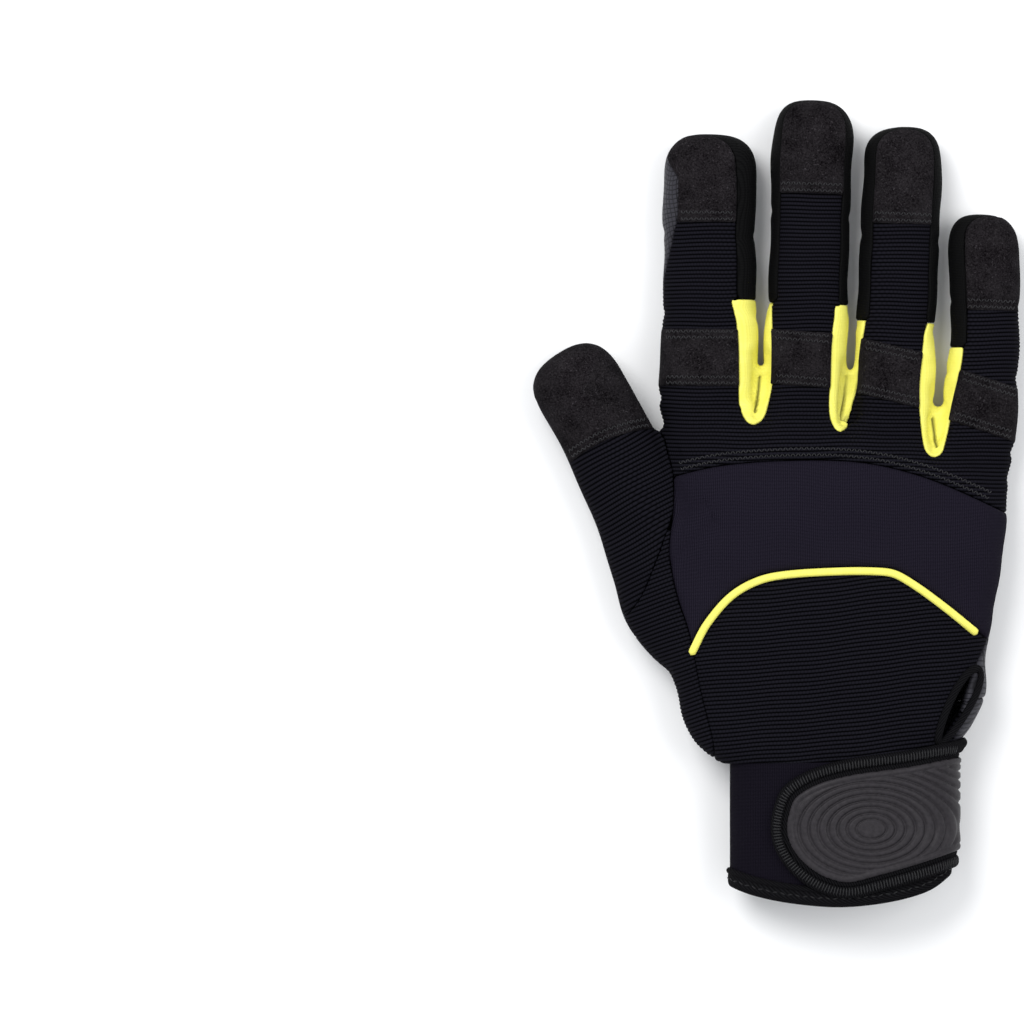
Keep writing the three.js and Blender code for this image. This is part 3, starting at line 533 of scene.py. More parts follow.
# %% The back and the front
lean = 5.2 - 0.21 * (z - seam_height) - 1.6 * np.clip((y - 40) / 6, 0, 1)
near_side = -line_distance(x, y, dropped(seam(back_near)))
palm_back = np.minimum(near_side, line_distance(x, y, dropped(seam(back_far))) - lean)
back = np.minimum(palm_back, 111 - y)
front = -np.ones(len(x)) * 99
past_hand = 70
crotch_x = [-past_hand]
for f, g in zip(fingers[:-1], fingers[1:]):
    crotch_x.append((f.place(0, f.width / 2)[0] + g.place(0, -g.width / 2)[0]) / 2)
crotch_x.append(past_hand)
crotch = np.array([(a, palm_length - drop_at(a) + 1.5) for a in crotch_x])
for i, (f, at) in enumerate(zip(fingers, finger_at)):
    box = finger_back(f, at, z)
    back = np.maximum(back, np.where((i == 0) & (y < 116), np.minimum(box, near_side), box))
    front = np.maximum(front, finger_front(f, at, i == 0, i == 3))
past_fingers = 170
for i, outline in enumerate(web_outlines):
    closing = [(outline[-1][0], past_fingers), (outline[0][0], past_fingers), outline[0]]
    in_web = line_distance(x, y, spline(outline + closing, 4))
    (left_along, left_across), (right_along, right_across) = finger_at[i], finger_at[i + 1]
    along = np.where(nearest == i, left_along, right_along)
    between = (left_across > 0) & (right_across < 0) & (along > -12) & (along < web_reach)
    back = np.where(between, -in_web, back)
outer_side = (x > 40) | ((x < -44) & (x > -56) & (y > 104))
lowest_seam = np.where(outer_side, seam_height - 3.5, seam_height)
back = np.minimum(np.minimum(back, (z - lowest_seam) * 1.5), x + 55.8)
front = np.maximum(front, -line_distance(x, y, crotch))
front = np.minimum(front, (seam_height - z) * 1.5)

# %% Strips, webs, thumb and leather
strips, web_areas = [], []
for i, (f, (along, across)) in enumerate(zip(fingers, finger_at)):
    near_from = 0.92 * f.reach if i == 0 else web_reach
    far_from = 0.86 * f.reach if i == 3 else web_reach
    run = np.where(across < 0, along - near_from, along - far_from)
    strips.append(np.where(nearest == i, run, -9))
for i in range(3):
    (left_along, left_across), (right_along, right_across) = finger_at[i], finger_at[i + 1]
    inside = np.minimum(left_across, -right_across)
    along = np.where(nearest == i, left_along, right_along)
    web_areas.append(np.minimum(np.minimum(inside, web_reach - along), along + 16))
side = -np.maximum(back, front)
trims = np.maximum.reduce(strips + web_areas)
side_area = np.minimum(side, trims)
thumb_edge = np.array([(-0.3, -0.5), (-0.3, 0.5), (-0.75, 0.88), (-1.03, 0.955), (-1.2, 1.4)])
thumb_side = line_distance(x, y, thumb_edge * [half_width, palm_length])
thumb_top = np.minimum(np.minimum(thumb_side, (z - seam_height) * 1.2), -back)
leather = np.minimum(np.minimum(-back, -side_area), -thumb_top)
print("points on the back:", int((back > 0).sum()), "leather:", int((leather > 0).sum()))

# %% [markdown]
# ## Cutting panels
# A seam seldom runs along the mesh's own edges. Where a seam crosses a triangle, the triangle is split
# there, so that the panel gets a clean edge. Points that lie almost on the seam are first drawn onto it,
# which avoids slivers.

# %% Splitting
def split(patch, level, keep_outside=False, hold_rim=False):
    """Puts a row of points where the value named edge passes a level, and drops what lies below it."""
    f = patch.values["edge"] - level
    names = list(patch.values)
    arrays = [patch.points] + [patch.values[n] for n in names]
    tris = patch.tris
    count = len(patch.points)

    def edges_of(tris):
        pairs = np.sort(np.vstack([tris[:, [0, 1]], tris[:, [1, 2]], tris[:, [2, 0]]]), axis=1)
        key, where = np.unique(pairs[:, 0] * count + pairs[:, 1], return_inverse=True)
        return key // count, key % count, where.reshape(3, -1).T

    a, b, _ = edges_of(tris)
    crossing = f[a] * f[b] < 0
    a, b = a[crossing], b[crossing]
    share = f[a] / (f[a] - f[b])
    near = np.concatenate([a, b])
    far = np.concatenate([b, a])
    away = np.concatenate([share, 1 - share])
    movable = np.ones(count, bool)
    if hold_rim:
        movable[open_edges(tris).ravel()] = False
    pick = np.flatnonzero((away < 0.28) & movable[near])
    pick = pick[np.argsort(-away[pick])]
    moved = []
    for array in arrays:
        t = away[pick] if array.ndim == 1 else away[pick][:, None]
        new = array.copy()
        new[near[pick]] = array[near[pick]] * (1 - t) + array[far[pick]] * t
        moved.append(new)
    arrays = moved
    f = f.copy()
    f[near[pick]] = 0

    a, b, where = edges_of(tris)
    crossing = f[a] * f[b] < 0
    number = np.full(len(a), -1)
    number[crossing] = count + np.arange(crossing.sum())
    share = f[a[crossing]] / (f[a[crossing]] - f[b[crossing]])
    grown = []
    for array in arrays:
        t = share if array.ndim == 1 else share[:, None]
        grown.append(np.concatenate([array, array[a[crossing]] * (1 - t) + array[b[crossing]] * t]))
    f = np.concatenate([f, np.zeros(crossing.sum())])
    mid = number[where]
    cuts = (mid >= 0).sum(1)
    made = [tris[cuts == 0]]
    for k in range(3):
        one = (cuts == 1) & (mid[:, k] >= 0)
        t = tris[one]
        m, r, z = t[:, k], t[:, (k + 1) % 3], t[:, (k + 2) % 3]
        p = mid[one, k]
        made += [np.column_stack([z, m, p]), np.column_stack([z, p, r])]
        two = (cuts == 2) & (mid[:, (k + 1) % 3] < 0)
        t = tris[two]
        lone, m, r = t[:, k], t[:, (k + 1) % 3], t[:, (k + 2) % 3]
        p, q = mid[two, k], mid[two, (k + 2) % 3]
        made += [np.column_stack([lone, p, q]), np.column_stack([p, m, r]), np.column_stack([p, r, q])]
    tris = np.vstack(made)
    if not keep_outside:
        tris = tris[f[tris].sum(1) > 0]
    used, tris = np.unique(tris, return_inverse=True)
    values = {n: v[used] for n, v in zip(names, grown[1:])}
    return Patch(grown[0][used], tris.reshape(-1, 3), **values)


def open_edges(tris):
    """The edges that only one triangle has, in that triangle's order."""
    pairs = np.vstack([tris[:, [0, 1]], tris[:, [1, 2]], tris[:, [2, 0]]])
    big = pairs.max() + 1
    key, first, count = np.unique(np.sort(pairs, axis=1) @ [big, 1], return_index=True, return_counts=True)
    return pairs[first[count == 1]]


def rim_distance(patch):
    """Each point's distance to the panel's edge."""
    rim = open_edges(patch.tris)
    a, b = patch.points[rim[:, 0]], patch.points[rim[:, 1]]
    marks = np.vstack([a, (a + b) / 2])
    tree = KDTree(len(marks))
    for i, mark in enumerate(marks):
        tree.insert(mark, i)
    tree.balance()
    away = np.array([tree.find(p)[2] for p in patch.points])
    away[np.unique(rim)] = 0
    return away


def biggest(patch):
    """Leaves out small islands that cutting has made."""
    label = np.arange(len(patch.points))
    for _ in range(400):
        low = label[patch.tris].min(1)
        new = label.copy()
        for k in range(3):
            np.minimum.at(new, patch.tris[:, k], low)
        new = new[new]
        if (new == label).all():
            break
        label = new
    names, sizes = np.unique(label[patch.tris[:, 0]], return_counts=True)
    tris = patch.tris[label[patch.tris[:, 0]] == names[sizes.argmax()]]
    used, tris = np.unique(tris, return_inverse=True)
    values = {n: v[used] for n, v in patch.values.items()}
    return Patch(patch.points[used], tris.reshape(-1, 3), **values)


def cut_out(region, base=None):
    """The part of a skin where a region's number is positive."""
    base = base or skin
    values = {"normal": base_normals(base), "edge": region}
    patch = Patch(base.points, base.tris, **values)
    return biggest(split(patch, 0.04))


def base_normals(base):
    return normals if base is skin else point_normals(base.points, base.tris)


# %% [markdown]
# ## From a flat cut to a soft panel
# A sewn panel rolls down into its seam. Rows of points are added beside the edge, and the surface drops
# along a quarter circle there. A copy of the surface inside, joined along the edge, gives the panel its
# thickness.

# %% Panels
rib_pitch = 1.2
rib_height = 0.26
crown_width = 16.0
print("ribs are", rib_pitch, "mm apart and", rib_height, "mm high")


# %% A finer mesh
def finer(patch):
    """Each triangle becomes four. The second result is the old triangles with only the rim's edges halved."""
    tris, count = patch.tris, len(patch.points)
    pairs = np.sort(np.vstack([tris[:, [0, 1]], tris[:, [1, 2]], tris[:, [2, 0]]]), axis=1)
    key, where, times = np.unique(pairs @ [count, 1], return_inverse=True, return_counts=True)
    a, b = key // count, key % count
    mid = count + where.reshape(3, -1).T
    arrays = [np.concatenate([v, (v[a] + v[b]) / 2]) for v in [patch.points, *patch.values.values()]]
    (i, j, k), (p, q, r) = tris.T, mid.T
    made = np.vstack([np.column_stack(t) for t in ((i, p, r), (p, j, q), (r, q, k), (p, q, r))])
    on_rim = (times[where] == 1).reshape(3, -1).T
    coarse = [tris[on_rim.sum(1) == 0], made[np.tile(on_rim.all(1), 4)]]
    for e in range(3):
        one = (on_rim.sum(1) == 1) & on_rim[:, e]
        start, end, top = (tris[one, (e + s) % 3] for s in range(3))
        coarse += [np.column_stack([start, mid[one, e], top]), np.column_stack([mid[one, e], end, top])]
        two = (on_rim.sum(1) == 2) & ~on_rim[:, (e + 2) % 3]
        start, end, top = (tris[two, (e + s) % 3] for s in range(3))
        m, n = mid[two, e], mid[two, (e + 1) % 3]
        coarse += [np.column_stack(t) for t in ((m, end, n), (start, m, top), (m, n, top))]
    return Patch(arrays[0], made, **dict(zip(patch.values, arrays[1:]))), np.vstack(coarse)


# %% [markdown]
# Ribs need points in their grooves and on their crests. Where suede will cover the knit no ribs are
# made, which saves an eighth of the large panel's triangles.

# %% Ribs
# each finger's suede, as shares of its reach: its cap's start, its bar's start and end, and the bar's slant
cap_rows = {
    "index": (0.68, 0.08, 0.292, 0),
    "middle": (0.703, 0.08, 0.26, 0.04),
    "ring": (0.685, 0.09, 0.28, 0.2),
    "little": (0.61, 0.11, 0.335, 0.28),
}


def under_suede(p):
    """Where suede covers the knit, which needs no ribs there."""
    hidden = np.zeros(len(p), bool)
    for f in fingers:
        cap_from, bar_from, bar_to, slant = np.array(cap_rows[f.name]) * [f.reach, f.reach, f.reach, 1]
        along, across = f.coordinates(p[:, 0], p[:, 1])
        slanted = along + across * slant
        covered = (along > cap_from + 1) | ((slanted > bar_from + 1) & (slanted < bar_to - 1))
        hidden |= covered & (across > 1.5 - f.near) & (across < f.far - 1.5)
    return hidden


def rib_rows(patch, cloth):
    """Rows of points along every groove and every crest of a ribbed cloth."""
    patch.values["kept"] = patch.values["edge"]
    for wave in (np.sin, np.cos):
        rows = wave(np.pi * cloth(patch.points)[:, 1] / rib_pitch)
        patch.values["edge"] = np.where(under_suede(patch.points), 1.0, rows)
        patch = split(patch, 0, keep_outside=True, hold_rim=True)
    patch.values["edge"] = patch.values.pop("kept")
    return patch


# %% [markdown]
# Each bright web is folded in two where the hand closes. The fold is a sharp line, so it gets three rows
# of points of its own, and the middle row is drawn in. A value named fold gives the depth of that fold,
# and tells the cloth's finish where to paint shade in it.

# %% Folds
def creased(patch, line, width=0.75, depth=1.5):
    """A sharp fold along a line in the plan, and a value for the painted shade along it."""
    for level in (-width, 0, width):
        patch.values["edge"] = line_distance(patch.points[:, 0], patch.points[:, 1], line)
        patch = split(patch, level, keep_outside=True, hold_rim=True)
    away = np.abs(line_distance(patch.points[:, 0], patch.points[:, 1], line))
    on_top = np.clip((patch.points[:, 2] - seam_height) / 2, 0, 1)
    # fold sets the fold's depth below, and the bright finish paints shade where it is high
    patch.values["fold"] = np.clip(1 - away / width, 0, 1) * on_top
    patch.points = patch.points - patch.values["normal"] * (depth * patch.values["fold"])[:, None]
    return patch


# %% Soft panels
def walls_at_rim(tris, count):
    """Triangles from the rim of a surface to the rim of its copy, whose points are numbered count higher."""
    a, b = open_edges(tris).T
    return np.vstack([np.column_stack([b, a, a + count]), np.column_stack([b, a + count, b + count])])


def soft_panel(name, patch, roll, drop, wall, lift=0.0, crown=0.0, hug=False, uv=None, relief=None,
               ribs=False):
    """A closed mesh with a rolled edge. roll is the width of the rolled edge and drop its depth.

    lift raises the outside, and wall is how deep the inside lies. crown makes the middle swell, and hug
    keeps the outside low where the skin turns down. relief gives small heights at places, for which the
    outside gets a finer mesh, and ribs gives it the ribs of its cloth."""
    patch.values["edge"] = rim_distance(patch)
    for share in (0.18, 0.55, 1.0):
        patch = split(patch, share * roll, keep_outside=True)
    if ribs:
        patch = rib_rows(patch, uv)
    inner_tris = patch.tris
    if relief:
        patch, inner_tris = finer(patch)
    away = patch.values["edge"]
    normal = patch.values["normal"]
    normal = normal / np.maximum(np.linalg.norm(normal, axis=1), 1e-9)[:, None]
    t = np.clip(away / roll, 0, 1)
    rise = lift - drop * (1 - np.sqrt(1 - (1 - t) ** 2))
    swell = np.clip(away / crown_width, 0, 1)
    rise = rise + crown * swell * (2 - swell)
    if hug:
        rise = rise * (0.25 + 0.75 * np.clip(normal[:, 2], 0, 1))
    if ribs:
        wave = np.abs(np.sin(np.pi * uv(patch.points)[:, 1] / rib_pitch)) ** 0.8
        rise = rise + rib_height * (wave - 0.6) * t * ~under_suede(patch.points)
    if relief:
        rise = rise + relief(patch.points) * t
    outer = patch.points + normal * rise[:, None]
    inner = patch.points - normal * wall
    outer[:, 2], inner[:, 2] = np.maximum(outer[:, 2], 0.0), np.maximum(inner[:, 2], 0.25)
    count = len(outer)
    tris = np.vstack([patch.tris, inner_tris[:, ::-1] + count, walls_at_rim(patch.tris, count)])
    points = np.vstack([outer, inner])
    if uv is not None:
        flat = uv(patch.points)
        uv = np.vstack([flat, flat])
    used, tris = np.unique(tris, return_inverse=True)
    piece = make_piece(name, points[used], tris.reshape(-1, 3), None if uv is None else uv[used])
    # the fold value becomes an attribute, from which the bright finish paints shade in a web's fold
    if "fold" in patch.values:
        fold = np.concatenate([patch.values["fold"], np.zeros(count)])[used]
        layer = piece.data.attributes.new("fold", "FLOAT", "POINT")
        layer.data.foreach_set("value", fold.astype(np.float32))
    return piece


# %% Pieces
def facing_out(points, tris):
    """The triangles turned over if the closed mesh has its inside out."""
    volume = np.einsum("ij,ij->i", face_normals(points, tris), points[tris[:, 0]]).sum()
    return tris[:, ::-1] if volume < 0 else tris


def make_piece(name, points, tris, uv=None):
    """A Blender object from arrays in millimetres."""
    mesh = bpy.data.meshes.new(name)
    world = (points + hand_place) * MM
    tris = np.asarray(tris, np.int32)
    mesh.vertices.add(len(world))
    mesh.vertices.foreach_set("co", world.astype(np.float32).ravel())
    mesh.loops.add(tris.size)
    mesh.loops.foreach_set("vertex_index", tris.ravel())
    mesh.polygons.add(len(tris))
    mesh.polygons.foreach_set("loop_start", np.arange(0, tris.size, 3, dtype=np.int32))
    mesh.update(calc_edges=True)
    mesh.validate()
    mesh.polygons.foreach_set("use_smooth", np.ones(len(mesh.polygons), bool))
    if uv is not None:
        layer = mesh.uv_layers.new(name="UVMap")
        index = np.empty(len(mesh.loops), np.int32)
        mesh.loops.foreach_get("vertex_index", index)
        layer.data.foreach_set("uv", uv[index].astype(np.float32).ravel())
    mesh.update()
    piece = bpy.data.objects.new(name, mesh)
    bpy.context.scene.collection.objects.link(piece)
    return piece


def show(piece, *replaced, slot, material, padding=None):
    """Every piece rides on the one body, stands for its solid, and gets its finish."""
    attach(piece, "root")
    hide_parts(*replaced)
    piece.data.materials.clear()
    piece.data.materials.append(material)
    print(piece.name, len(piece.data.polygons), "triangles")

# %% [markdown]
# ## Finishes
# Every finish is made from nodes, at the real scale. Cloth patterns read the piece's UV map, which is in
# millimetres and follows the cloth. Suede and rubber have no direction, so they read the object's own
# space.

# %% Node helpers
def new_finish(name, color, roughness, specular=0.3, sheen=0.0, sheen_tint=(0.5, 0.5, 0.55, 1)):
    material = bpy.data.materials.new(name)
    material.use_nodes = True
    shader = material.node_tree.nodes["Principled BSDF"]
    shader.inputs["Base Color"].default_value = (*color, 1)
    shader.inputs["Roughness"].default_value = roughness
    shader.inputs["Specular IOR Level"].default_value = specular
    shader.inputs["Sheen Weight"].default_value = sheen
    shader.inputs["Sheen Roughness"].default_value = 0.45
    shader.inputs["Sheen Tint"].default_value = sheen_tint
    return material, material.node_tree, shader


def node(tree, kind, *inputs, out=0, **settings):
    made = tree.nodes.new(kind)
    for key, value in settings.items():
        setattr(made, key, value)
    for i, value in enumerate(inputs):
        if isinstance(value, bpy.types.NodeSocket):
            tree.links.new(value, made.inputs[i])
        elif value is not None:
            made.inputs[i].default_value = value
    return made.outputs[out]


def calc(tree, operation, *values):
    return node(tree, "ShaderNodeMath", *values, operation=operation)


def uv_axes(tree):
    place = node(tree, "ShaderNodeTexCoord", out=2)
    parts = tree.nodes.new("ShaderNodeSeparateXYZ")
    tree.links.new(place, parts.inputs[0])
    return parts.outputs[0], parts.outputs[1], place


def object_place(tree):
    return node(tree, "ShaderNodeTexCoord", out=3)


def noise(tree, place, scale, detail=2.0, roughness=0.5):
    made = tree.nodes.new("ShaderNodeTexNoise")
    tree.links.new(place, made.inputs["Vector"])
    made.inputs["Scale"].default_value = scale
    made.inputs["Detail"].default_value = detail
    made.inputs["Roughness"].default_value = roughness
    return made.outputs["Fac"]


def ridge(tree, value, pitch):
    """Round ridges, one for each pitch: 0 in the grooves, 1 on top."""
    turn = calc(tree, "MULTIPLY", value, math.pi / pitch)
    return calc(tree, "ABSOLUTE", calc(tree, "SINE", turn))


def ramp(tree, value, low, high, low_color, high_color):
    made = tree.nodes.new("ShaderNodeValToRGB")
    made.color_ramp.elements[0].position, made.color_ramp.elements[1].position = low, high
    made.color_ramp.elements[0].color = (*low_color, 1)
    made.color_ramp.elements[1].color = (*high_color, 1)
    tree.links.new(value, made.inputs[0])
    return made.outputs[0]


def bump(tree, shader, height, distance, strength=1.0):
    made = tree.nodes.new("ShaderNodeBump")
    made.inputs["Strength"].default_value = strength
    made.inputs["Distance"].default_value = distance
    tree.links.new(height, made.inputs["Height"])
    tree.links.new(made.outputs[0], shader.inputs["Normal"])


# %% [markdown]
# The knit's ribs run across the cloth, 1.2 mm apart. Small loops stand on each rib, half a step aside on
# the next one. The colour follows the height: a bluish painted highlight on the ribs, painted shade in the
# grooves.

# %% Ribbed knit
def knit_finish():
    material, tree, shader = new_finish("ribbed_knit", (0.004, 0.0042, 0.0065), 0.8, 0.02)
    u, v, place = uv_axes(tree)
    ribs = ridge(tree, v, rib_pitch)
    row = calc(tree, "FLOOR", calc(tree, "DIVIDE", v, rib_pitch))
    shifted = calc(tree, "ADD", u, calc(tree, "MULTIPLY", row, 0.55))
    loops = ridge(tree, shifted, 1.1)
    fuzz = noise(tree, place, 2.2, 3, 0.7)
    on_ribs = calc(tree, "MULTIPLY_ADD", loops, 0.3, 0.7)
    height = calc(tree, "MULTIPLY", calc(tree, "POWER", ribs, 0.7), on_ribs)
    height = calc(tree, "MULTIPLY_ADD", fuzz, 0.22, height)
    # painted highlight and painted shade: black in the grooves, bluish on the ribs' tops
    color = ramp(tree, height, 0.42, 1.12, (0.0001, 0.0001, 0.0002), (0.0082, 0.0078, 0.0115))
    tree.links.new(color, shader.inputs["Base Color"])
    bump(tree, shader, height, 0.0003, 0.9)
    return material


# %% [markdown]
# Suede is noise in three sizes: the short nap, slow patches that are paler or darker, and a few pale
# specks. It hardly shines.

# %% Suede
def suede_finish():
    material, tree, shader = new_finish("suede", (0.008, 0.0075, 0.008), 0.95, 0.02, 0.02)
    place = object_place(tree)
    nap = noise(tree, place, 1900, 4, 0.7)
    patches = noise(tree, place, 140, 3)
    mixed = calc(tree, "MULTIPLY_ADD", patches, 0.35, calc(tree, "MULTIPLY", nap, 0.8))
    specks = node(tree, "ShaderNodeMapRange", noise(tree, place, 1300, 2, 0.8), 0.62, 0.74, 0.0, 0.6)
    mixed = calc(tree, "ADD", mixed, specks)
    color = ramp(tree, mixed, 0.44, 0.98, (0.0014, 0.001, 0.0014), (0.033, 0.0295, 0.0325))
    tree.links.new(color, shader.inputs["Base Color"])
    bump(tree, shader, nap, 0.0003, 0.8)
    return material


# %% [markdown]
# Neoprene and the stretch cloths have a close, even weave: two sets of low ridges, multiplied, with a
# little noise. Painted shade darkens the bright cloth in the fold of a web.

# %% Woven cloths
def neoprene_finish(name, shade):
    material, tree, shader = new_finish(name, (0.009, 0.008, 0.014), 0.8, 0.02)
    u, v, place = uv_axes(tree)
    weave = calc(tree, "MULTIPLY", ridge(tree, u, 0.55), ridge(tree, v, 0.42))
    grain = noise(tree, place, 2.6, 3, 0.6)
    height = calc(tree, "MULTIPLY_ADD", grain, 0.6, weave)
    low, high = (tuple(shade * c for c in tint) for tint in ((0.003, 0.0025, 0.0055), (0.019, 0.016, 0.027)))
    color = ramp(tree, height, 0.25, 1.15, low, high)
    tree.links.new(color, shader.inputs["Base Color"])
    bump(tree, shader, height, 0.00016, 0.7)
    return material


def stretch_finish():
    material, tree, shader = new_finish("dark_stretch_cloth", (0.003, 0.003, 0.003), 0.7, 0.03)
    u, v, place = uv_axes(tree)
    weave = calc(tree, "MULTIPLY", ridge(tree, u, 0.5), ridge(tree, v, 0.5))
    height = calc(tree, "MULTIPLY_ADD", noise(tree, place, 2.0, 3), 0.6, weave)
    color = ramp(tree, height, 0.2, 1.2, (0.0012, 0.0012, 0.0013), (0.005, 0.005, 0.0052))
    tree.links.new(color, shader.inputs["Base Color"])
    bump(tree, shader, height, 0.00014, 0.7)
    return material


def bright_finish(name):
    material, tree, shader = new_finish(name, (0.74, 0.71, 0.13), 0.65, 0.15, 0.05, (1, 0.95, 0.5, 1))
    u, v, place = uv_axes(tree)
    weave = calc(tree, "MULTIPLY", ridge(tree, u, 0.45), ridge(tree, v, 0.45))
    slow = noise(tree, place, 0.25, 2)
    shade = calc(tree, "MULTIPLY_ADD", slow, 0.6, calc(tree, "MULTIPLY", weave, 0.4))
    color = ramp(tree, shade, 0.15, 0.75, (0.74, 0.7, 0.1), (0.88, 0.835, 0.18))
    # painted shade: a dark olive is mixed in along a web's fold, where the fold attribute is high
    fold = node(tree, "ShaderNodeAttribute", out=2, attribute_name="fold")
    mixed = node(tree, "ShaderNodeMix", out=2, data_type="RGBA")
    tree.links.new(calc(tree, "MULTIPLY", fold, 0.85), mixed.node.inputs[0])
    tree.links.new(color, mixed.node.inputs[6])
    mixed.node.inputs[7].default_value = (0.1, 0.09, 0.008, 1)
    tree.links.new(mixed, shader.inputs["Base Color"])
    bump(tree, shader, weave, 0.00012, 0.6)
    return material


# %% [markdown]
# The palm's leather is embossed with a net of small cells. Its lines wander in slow waves, so both sets
# of lines are bent by sines before they are drawn.

# %% Embossed leather
def leather_finish():
    material, tree, shader = new_finish("embossed_leather", (0.03, 0.029, 0.035), 0.55, 0.12)
    u, v, place = uv_axes(tree)

    def wave(value, other, length, size, mixed):
        turn = calc(tree, "MULTIPLY_ADD", other, mixed, calc(tree, "DIVIDE", value, length))
        return calc(tree, "MULTIPLY", calc(tree, "SINE", turn), size)

    across = calc(tree, "ADD", u, calc(tree, "ADD", wave(v, u, 5.2, 1.5, 0.05), wave(v, u, 2.3, 0.35, 0.2)))
    along = calc(tree, "ADD", v, calc(tree, "ADD", wave(u, v, 4.6, 1.2, 0.06), wave(u, v, 2.1, 0.3, -0.15)))
    cells = calc(tree, "MINIMUM", ridge(tree, across, 2.0), ridge(tree, along, 1.5))
    domes = calc(tree, "POWER", cells, 0.45)
    grain = noise(tree, place, 3.0, 3, 0.6)
    height = calc(tree, "MULTIPLY_ADD", grain, 0.12, domes)
    color = ramp(tree, height, 0.35, 0.85, (0.006, 0.006, 0.0075), (0.028, 0.027, 0.034))
    tree.links.new(color, shader.inputs["Base Color"])
    rough = ramp(tree, height, 0.4, 1.0, (0.62,) * 3, (0.46,) * 3)
    tree.links.new(rough, shader.inputs["Roughness"])
    bump(tree, shader, height, 0.00022, 0.8)
    return material


# %% [markdown]
# The badge is moulded rubber, dull with a fine grain. Tape has slanting cords. A thread is one colour
# that wanders a little.

# %% Rubber, tape and thread
def rubber_finish():
    material, tree, shader = new_finish("moulded_rubber", (0.03, 0.028, 0.031), 0.5, 0.14)
    place = object_place(tree)
    grain = noise(tree, place, 900, 4, 0.6)
    color = ramp(tree, grain, 0.3, 0.75, (0.0145, 0.013, 0.015), (0.026, 0.023, 0.0265))
    tree.links.new(color, shader.inputs["Base Color"])
    rough = ramp(tree, noise(tree, place, 160, 3), 0.3, 0.7, (0.42,) * 3, (0.56,) * 3)
    tree.links.new(rough, shader.inputs["Roughness"])
    bump(tree, shader, grain, 0.00008, 0.5)
    return material


def tape_finish():
    material, tree, shader = new_finish("binding_tape", (0.004, 0.004, 0.0045), 0.85, 0.03)
    u, v, place = uv_axes(tree)
    cords = ridge(tree, calc(tree, "MULTIPLY_ADD", v, 0.5, u), 0.8)
    height = calc(tree, "MULTIPLY_ADD", noise(tree, place, 2.2, 3), 0.5, cords)
    color = ramp(tree, height, 0.2, 1.3, (0.0004, 0.0004, 0.0005), (0.006, 0.0058, 0.0068))
    tree.links.new(color, shader.inputs["Base Color"])
    bump(tree, shader, height, 0.0003, 0.8)
    return material


def thread_finish(name, color):
    material, tree, shader = new_finish(name, color, 0.6, 0.3, 0.2)
    place = object_place(tree)
    tint = ramp(tree, noise(tree, place, 2500, 2), 0.35, 0.7, tuple(0.7 * c for c in color), color)
    tree.links.new(tint, shader.inputs["Base Color"])
    return material


# %% All the finishes
knit = knit_finish()
suede = suede_finish()
neoprene = neoprene_finish("neoprene", 0.78)
cuff_neoprene = neoprene_finish("cuff_neoprene", 0.45)
stretch = stretch_finish()
bright = bright_finish("bright_stretch_cloth")
bright_cord = bright_finish("bright_cord")
embossed = leather_finish()
rubber = rubber_finish()
tape = tape_finish()
dark_thread = thread_finish("dark_thread", (0.0105, 0.0102, 0.0118))
black_thread = thread_finish("black_thread", (0.004, 0.004, 0.0048))
bright_thread = thread_finish("bright_thread", (0.75, 0.85, 0.05))
print("finishes:", len(bpy.data.materials))

# %% [markdown]
# ## The back's panels
# One knit panel runs over all four fingers' backs and the knuckles. Below it lies a thin padded panel of
# neoprene, then a second knit panel down to the wrist. The thumb has its own two.

# %% Cloth coordinates
def plan_cloth(tilt=0.0, pitch=rib_pitch):
    """Cloth laid on the back, its ribs across the hand and never quite straight."""
    def flat(p):
        x, y = p[:, 0], p[:, 1]
        stray = 0.3 * np.sin(0.09 * x + 0.03 * y + 1.3) + 0.1 * np.sin(0.31 * x - 0.09 * y)
        down_side = np.clip(x / 10, -1, 1) * np.maximum(22 - p[:, 2], 0)
        return np.column_stack([x + down_side, (y - tilt * x + stray) * rib_pitch / pitch])
    return flat


def thumb_cloth(p):
    """Cloth on the thumb's back, its ribs across the thumb."""
    along, across = thumb.coordinates(p[:, 0], p[:, 1])
    along = (along + 0.2 * np.sin(0.23 * across + 0.1 * along)) * 0.9
    return np.column_stack([across + np.clip(across / 3, -1, 1) * (20 - p[:, 2]), along])


def thumb_hide(p):
    """Leather on the thumb's front, flat below and up both sides."""
    along, across = thumb.coordinates(p[:, 0], p[:, 1])
    return np.column_stack([across + np.clip(across / 3, -1, 1) * p[:, 2], along])


def unrolled(p):
    """Leather that wraps round the palm and the fingers without being stretched."""
    x, y, z = p.T
    wrap = np.clip(x / 10, -1, 1) * z
    for f in fingers:
        along, across = f.coordinates(x, y)
        mine = (np.abs(across) < f.width / 2 + 1.5) & (along > -6)
        side = np.clip(across / 3, -1, 1)
        on_finger = np.where(z < 0.47 * f.height, side * z, side * (f.width + z) - 2 * across)
        share = np.clip((along + 6) / 12, 0, 1)
        wrap = np.where(mine, wrap * (1 - share) + on_finger * share, wrap)
    return np.column_stack([x + wrap, y])


def side_cloth(p):
    """Cloth on the sides of the fingers, its length along the finger and its width up the side."""
    return np.column_stack([p[:, 2] + 0.3 * p[:, 0], p[:, 1]])


# %% Back panels
knuckle_away = line_distance(x, y, knuckle_seam)
piping_away = line_distance(x, y, piping_seam)
thumb_seam_away = line_distance(x, y, thumb_seam)
vent_middle = (0.688 * half_width, 0.163 * palm_length)
vent_lean = math.radians(31)


def vent_plan(out, count=48):
    """The drop-shaped outline of the vent in the plan, moved out."""
    angle = np.linspace(0, 2 * np.pi, count)
    along = np.cos(angle) * (12 + out)
    across = np.sin(angle) * (2.9 + out) * (0.8 + 0.2 * np.cos(angle))
    px = vent_middle[0] + along * math.sin(vent_lean) * 0.9 + across * math.cos(vent_lean)
    py = vent_middle[1] + along * math.cos(vent_lean) - across * math.sin(vent_lean)
    return np.column_stack([px, py])


